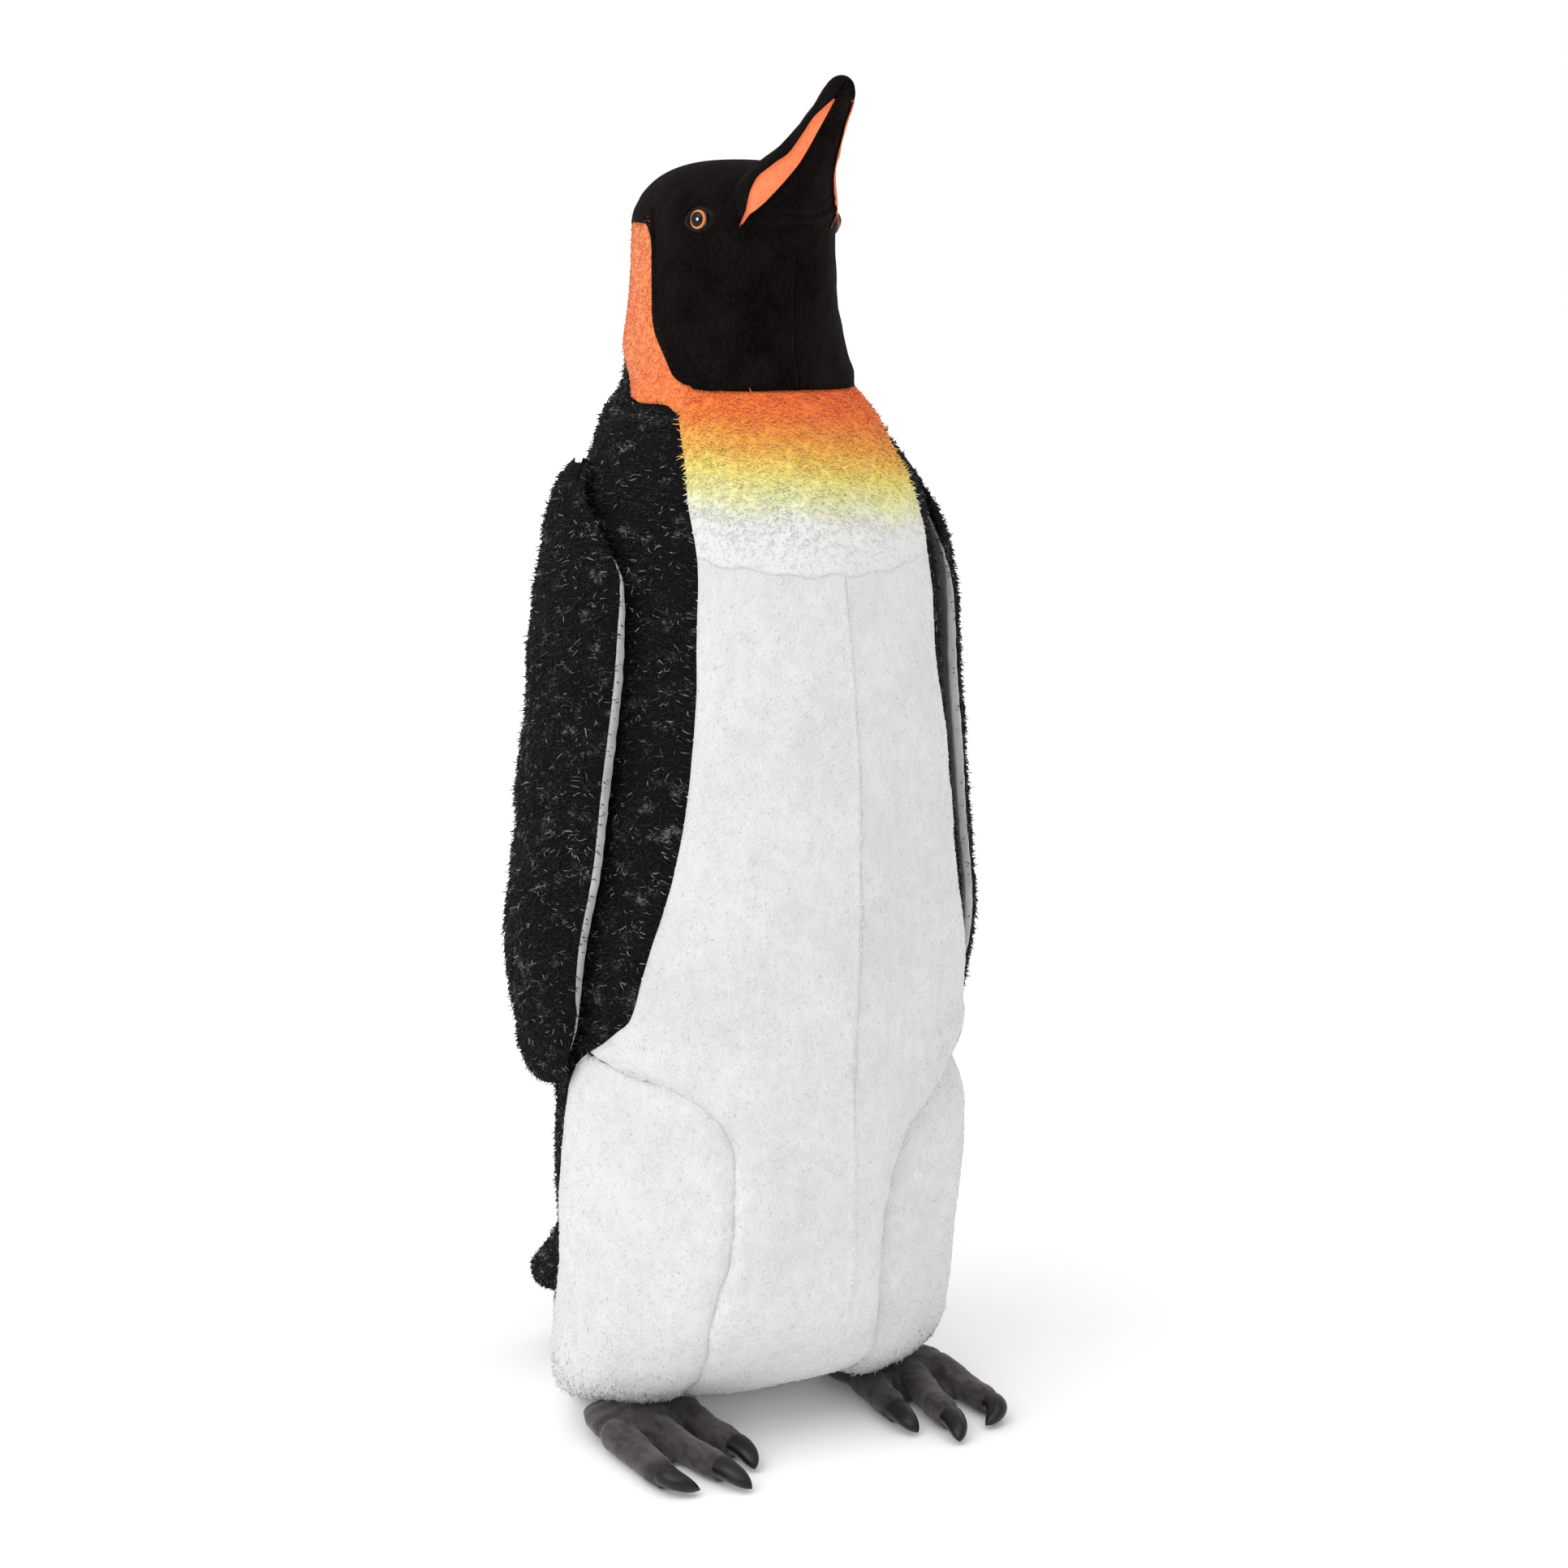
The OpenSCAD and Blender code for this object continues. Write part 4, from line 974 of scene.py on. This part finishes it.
for tag, sign in (("l", 1), ("r", -1)):
    flip = np.array([sign, 1, 1])
    a_ = np.radians(np.arange(0, 360, 6))
    radii = np.array([0.01, 1, 2, 3, 4, 4.8, 5.6, 6.4, 7.2, 7.7, 8.0, 8.0, 2.0])
    drop = np.array([0] * 11 + [1.2, 1.2])
    along, up = radii[:, None] * np.cos(a_), radii[:, None] * np.sin(a_)
    pts = (EYE_AT + LONG * along[..., None] + TALLER * up[..., None]
           + OUT * (eye_height(radii) - drop)[:, None, None]) * flip
    faces = grid_faces(len(radii), len(a_), closed=True)
    rim = [("ring", np.repeat(radii / EYE_R, len(a_)))]
    eye = mesh(f"eye_{tag}", pts.reshape(-1, 3), [faces[:, ::-sign]], rim)
    finish_piece(eye, "eye_plastic", f"eye_{tag}")
    a_ = np.radians(np.arange(0, 360, 3))
    c, s = np.cos(a_), np.sin(a_)
    wide_, high_ = LID_W * c * np.abs(c) ** 0.3, LID_H * s * np.abs(s) ** 0.15
    lid = []
    for grow, lift, fade in LID:
        r = np.hypot(wide_ * grow, high_ * grow)
        flat = EYE_AT + LONG * (wide_ * grow)[:, None] + TALLER * (high_ * grow)[:, None]
        on_dome = flat + OUT * (np.maximum(eye_height(np.minimum(r, 8.4)), 0.2) + lift)[:, None]
        k = flat - EYE_AT
        on_head = skin(EYE_PHI + np.degrees((k @ ACROSS) / HEAD_R), EYE_Z * TALL + k @ RISE, lift)
        lid.append(mix(on_dome, on_head, fade))
    lid = np.array(lid)
    faces = grid_faces(len(lid), len(a_), closed=True)
    ob = mesh(f"eyelid_{tag}", (lid * flip).reshape(-1, 3), [faces[:, ::-sign]])
    finish_piece(ob, "black_velour", f"eyelid_{tag}")
    ob.data.materials[0] = MATERIALS["lid_velour"]

# ---- Feet ----
# Each toe's root, its end and its claw's tip, in X and Y
TOES = {
    "outer": [[146, -34], [146, -122], [127, -141]], "middle": [[117, -40], [102, -130], [92, -158]],
    "inner": [[82, -24], [72, -97], [73, -127]]}
# The palm's rings in Y: Y, middle in X, half width, height
PALM = [
    [44, 106, 16, 8], [40, 106, 26, 12], [25, 107, 40, 18], [0, 109, 48, 26], [-22, 112, 48, 29],
    [-38, 114, 43, 27], [-50, 115, 36, 20], [-58, 115, 26, 10]]
WEBS = (((132, -50), (126, -86)), ((98, -44), (90, -74)))
CREASES = (((132, -56), (126, -96)), ((98, -50), (88, -84)))


def tube(middles, halves, tops, ways):
    """Closed form through oval rings that stand on the floor."""
    t = np.radians(np.arange(0, 360, 15))
    rings = []
    for m, w, h, way in zip(middles, halves, tops, ways):
        across = np.array([-way[1], way[0], 0])
        z = h / 2 * (1 + np.sign(np.sin(t)) * np.abs(np.sin(t)) ** 0.8)
        middle = np.array([m[0], m[1], 0.4])
        rings.append(middle + across * (w * np.cos(t))[:, None] + np.array([0, 0, 1.0]) * z[:, None])
    n = len(t)
    pts = np.concatenate([*rings, rings[0].mean(0)[None], rings[-1].mean(0)[None]])
    k = len(rings) * n
    j = np.arange(n)
    caps = np.concatenate([np.stack([j * 0 + k, (j + 1) % n, j], -1),
                           np.stack([j * 0 + k + 1, k - n + j, k - n + (j + 1) % n], -1)])
    return pts, grid_faces(len(rings), n, closed=True), caps


def toe_way(t):
    d = np.array(t[1], float) - np.array(t[0], float)
    return d / np.linalg.norm(d)


def foot_mesh():
    """One closed form of the left foot, remeshed and smoothed."""
    forms = []
    for t in TOES.values():
        s = np.concatenate([np.linspace(0, 0.9, 10), [0.95, 0.99, 1.02]])
        round_ = np.array([1] * 10 + [0.97, 0.86, 0.6])
        mids = [mix(np.array(t[0], float), np.array(t[1], float), x) for x in s]
        knuckle = 1 + 0.03 * np.sin(s * 9.0)
        halves, tops = (mix(*ends, s) * round_ * knuckle for ends in ((13.5, 11.0), (25, 20.0)))
        forms.append(tube(mids, halves, tops, [toe_way(t)] * len(s)))
    middles, halves, tops = ([(r[1], r[0]) for r in PALM], [r[2] for r in PALM], [r[3] for r in PALM])
    forms.append(tube(middles, halves, tops, [(0, -1)] * len(PALM)))
    for a, b in WEBS:
        s = np.linspace(0, 1, 6)
        mids = [mix(np.array(a, float), np.array(b, float), x) for x in s]
        forms.append(tube(mids, mix(12, 6, s), mix(17, 4, s), [toe_way((a, b))] * 6))
    pts, quads, tris, at = [], [], [], 0
    for p, q, c in forms:
        pts.append(p)
        quads.append(q + at)
        tris.append(c + at)
        at += len(p)
    # Join the forms by voxels, then read the result back
    raw = mesh("foot_form", np.concatenate(pts), [np.concatenate(quads), np.concatenate(tris)], body=None)
    re = raw.modifiers.new("remesh", "REMESH")
    re.mode, re.voxel_size, re.use_smooth_shade = "VOXEL", 2.3 * MM, True
    sm = raw.modifiers.new("smooth", "SMOOTH")
    sm.factor, sm.iterations = 0.5, 7
    bpy.context.view_layer.update()
    done = raw.evaluated_get(bpy.context.evaluated_depsgraph_get()).to_mesh()
    co = np.zeros(len(done.vertices) * 3)
    no = np.zeros(len(done.vertices) * 3)
    done.vertices.foreach_get("co", co)
    done.vertices.foreach_get("normal", no)
    f = np.array([list(p.vertices) for p in done.polygons if len(p.vertices) == 4])
    bpy.data.objects.remove(raw)
    return co.reshape(-1, 3) / MM, no.reshape(-1, 3), f


FOOT_P, FOOT_N, FOOT_F = foot_mesh()
wrinkle = 0.4 * noise(FOOT_P[:, 0], FOOT_P[:, 1], 26, 71)
wrinkle = wrinkle + 0.25 * noise(FOOT_P[:, 0], FOOT_P[:, 1] + FOOT_P[:, 2], 9, 72)
# Gathers round the end of each toe
for t_ in TOES.values():
    tip_, way_ = np.array([*t_[1], 11.0]), np.array([*toe_way(t_), 0])
    rel = FOOT_P - tip_
    along = rel @ way_
    ring = rel - along[:, None] * way_
    turn_ = np.arctan2(ring[:, 2], ring @ np.array([-way_[1], way_[0], 0]))
    near_ = np.exp(-np.abs(along + 5) / 7) * (np.linalg.norm(ring, axis=1) < 16) * (along > -30)
    wrinkle += near_ * (0.6 * np.sin(turn_ * 9) - 1.0)
# Creases in the webs between the toes
for a_, b_ in CREASES:
    a_, b_ = np.array(a_, float), np.array(b_, float)
    d_ = (b_ - a_) / np.linalg.norm(b_ - a_)
    rel = FOOT_P[:, :2] - a_
    lo_, sd_ = rel @ d_, rel @ np.array([-d_[1], d_[0]])
    web = bell(sd_, 9) * ease(lo_ / 10 + 0.5) * (lo_ < 60)
    wrinkle += web * 1.2 * np.sin(sd_ * 0.9 + 1.2 * np.sin(lo_ / 6))
FOOT_P = FOOT_P + FOOT_N * (wrinkle * ease(FOOT_P[:, 2] / 6))[:, None]
FOOT_P[:, 2] = np.maximum(FOOT_P[:, 2], 0.0)
FOOT_P[:, 1] += HOME
SOLE_Z = 3.4
low_ = FOOT_P[FOOT_F][:, :, 2].mean(1) < SOLE_Z
FOOT_PARTS = (("foot_upper", FOOT_F[~low_], ("foot_stuffing",)), ("foot_sole", FOOT_F[low_], ()))
for tag, sign in (("l", 1), ("r", -1)):
    for name_, faces_, over in FOOT_PARTS:
        used = np.unique(faces_)
        place = np.zeros(len(FOOT_P), int)
        place[used] = np.arange(len(used))
        ob = mesh(f"{name_}_{tag}", FOOT_P[used] * np.array([sign, 1, 1]), [place[faces_][:, ::sign]])
        finish_piece(ob, "foot_velour", f"{name_}_{tag}", tuple(f"{o}_{tag}" for o in over))

CLAW_L, CLAW_R, CLAW_Z = 34.0, 10.0, 12.0
for key, t_ in TOES.items():
    way_ = np.array([*toe_way(t_), 0])
    start = np.array([t_[1][0], t_[1][1] + HOME, CLAW_Z]) - way_ * 1.5
    bend_ = start + way_ * CLAW_L * 0.5 + np.array([0, 0, 1.5])
    end = np.array([t_[2][0], t_[2][1] + HOME, 4.0])
    rings = []
    for s_ in np.concatenate([[0, 0, 0.03, 0.06], np.linspace(0.1, 0.96, 20), [0.985, 1.0]]):
        middle = start * (1 - s_) ** 2 + bend_ * 2 * s_ * (1 - s_) + end * s_ * s_
        run = unit((bend_ - start) * (1 - s_) + (end - bend_) * s_)
        across = unit(np.cross(run, np.array([0, 0, 1.0])))
        rise_ = np.cross(across, run)
        r_ = CLAW_R * max(1 - (0.42 * s_ + 0.58 * s_**5), 0.02) ** 0.8
        if not rings:
            r_ = 1.0
        elif s_ == 0:
            r_ = 9.4
        a_ = -np.radians(np.arange(0, 360, 12))
        rings.append(middle + across * (r_ * np.cos(a_))[:, None] + rise_ * (0.85 * r_ * np.sin(a_))[:, None])
    claw = np.array(rings)
    claw[..., 2] = np.maximum(claw[..., 2], 0.6)
    for tag, sign in (("l", 1), ("r", -1)):
        faces = grid_faces(len(rings), claw.shape[1], closed=True)
        ob = mesh(f"claw_{key}_{tag}", (claw * np.array([sign, 1, 1])).reshape(-1, 3), [faces[:, ::sign]])
        finish_piece(ob, "claw_vinyl", f"claw_{key}_{tag}")

# ---- Camera, floor and light ----
cam_data = bpy.data.cameras.new("camera")
cam_data.lens, cam_data.sensor_width = 67.0, 36.0
camera = bpy.data.objects.new("camera", cam_data)
camera.location = (-1.0647, -2.0052, 0.918)
camera.rotation_euler = (math.radians(79.68), 0, math.radians(-28.8))
bpy.context.scene.collection.objects.link(camera)
bpy.context.scene.camera = camera

shader("floor", (0.97, 0.97, 0.97), 1.0, Specular_IOR_Level=0.0, Emission_Color=(1, 1, 1, 1),
       Emission_Strength=0.07)
floor_d = bpy.data.meshes.new("floor")
floor_d.from_pydata([(-30, -30, 0), (30, -30, 0), (30, 30, 0), (-30, 30, 0)], [], [(0, 1, 2, 3)])
floor_d.materials.append(MATERIALS["floor"])
floor = bpy.data.objects.new("floor", floor_d)
floor.location = (0, 0, -0.0005)
bpy.context.scene.collection.objects.link(floor)

world = bpy.data.worlds.new("world")
bpy.context.scene.world = world
world.use_nodes = True
background = world.node_tree.nodes["Background"]
background.inputs["Color"].default_value = (1, 1, 1, 1)
# The white surroundings are seen at full strength and light the object less
seen = node(world.node_tree, "ShaderNodeLightPath").outputs["Is Camera Ray"]
level_ = node(world.node_tree, "ShaderNodeMapRange", [("Value", seen), ("To Min", 0.67), ("To Max", 1.0)])
world.node_tree.links.new(level_.outputs[0], background.inputs["Strength"])


def sun(name, azimuth, elevation, power, spread):
    """Light from far away. Azimuth 0 is in front of the object, and negative is on its right side."""
    data = bpy.data.lights.new(name, "SUN")
    data.energy, data.angle = power, math.radians(spread)
    a, e = math.radians(azimuth), math.radians(elevation)
    away = Vector((math.sin(a) * math.cos(e), -math.cos(a) * math.cos(e), math.sin(e)))
    ob = bpy.data.objects.new(name, data)
    ob.rotation_euler = (-away).to_track_quat("-Z", "Y").to_euler()
    bpy.context.scene.collection.objects.link(ob)


sun("top", -50, 72, 1.05, 75)
sun("key", -80, 38, 0.80, 55)
# A lamp that lights only the eyes, for their spark
spot_data = bpy.data.lights.new("glint", "AREA")
spot_data.shape, spot_data.size, spot_data.energy = "DISK", 0.9, 110
spot = bpy.data.objects.new("glint", spot_data)
spot.location = (-2.0, -0.45, 1.3)
spot.rotation_euler = (Vector((0, 0, 0.9)) - spot.location).to_track_quat("-Z", "Y").to_euler()
bpy.context.scene.collection.objects.link(spot)
glossy = bpy.data.collections.new("glossy")
for ob in bpy.data.objects:
    if ob.name.startswith("eye_"):
        glossy.objects.link(ob)
spot.light_linking.receiver_collection = glossy
bpy.context.scene.view_settings.view_transform = "Standard"
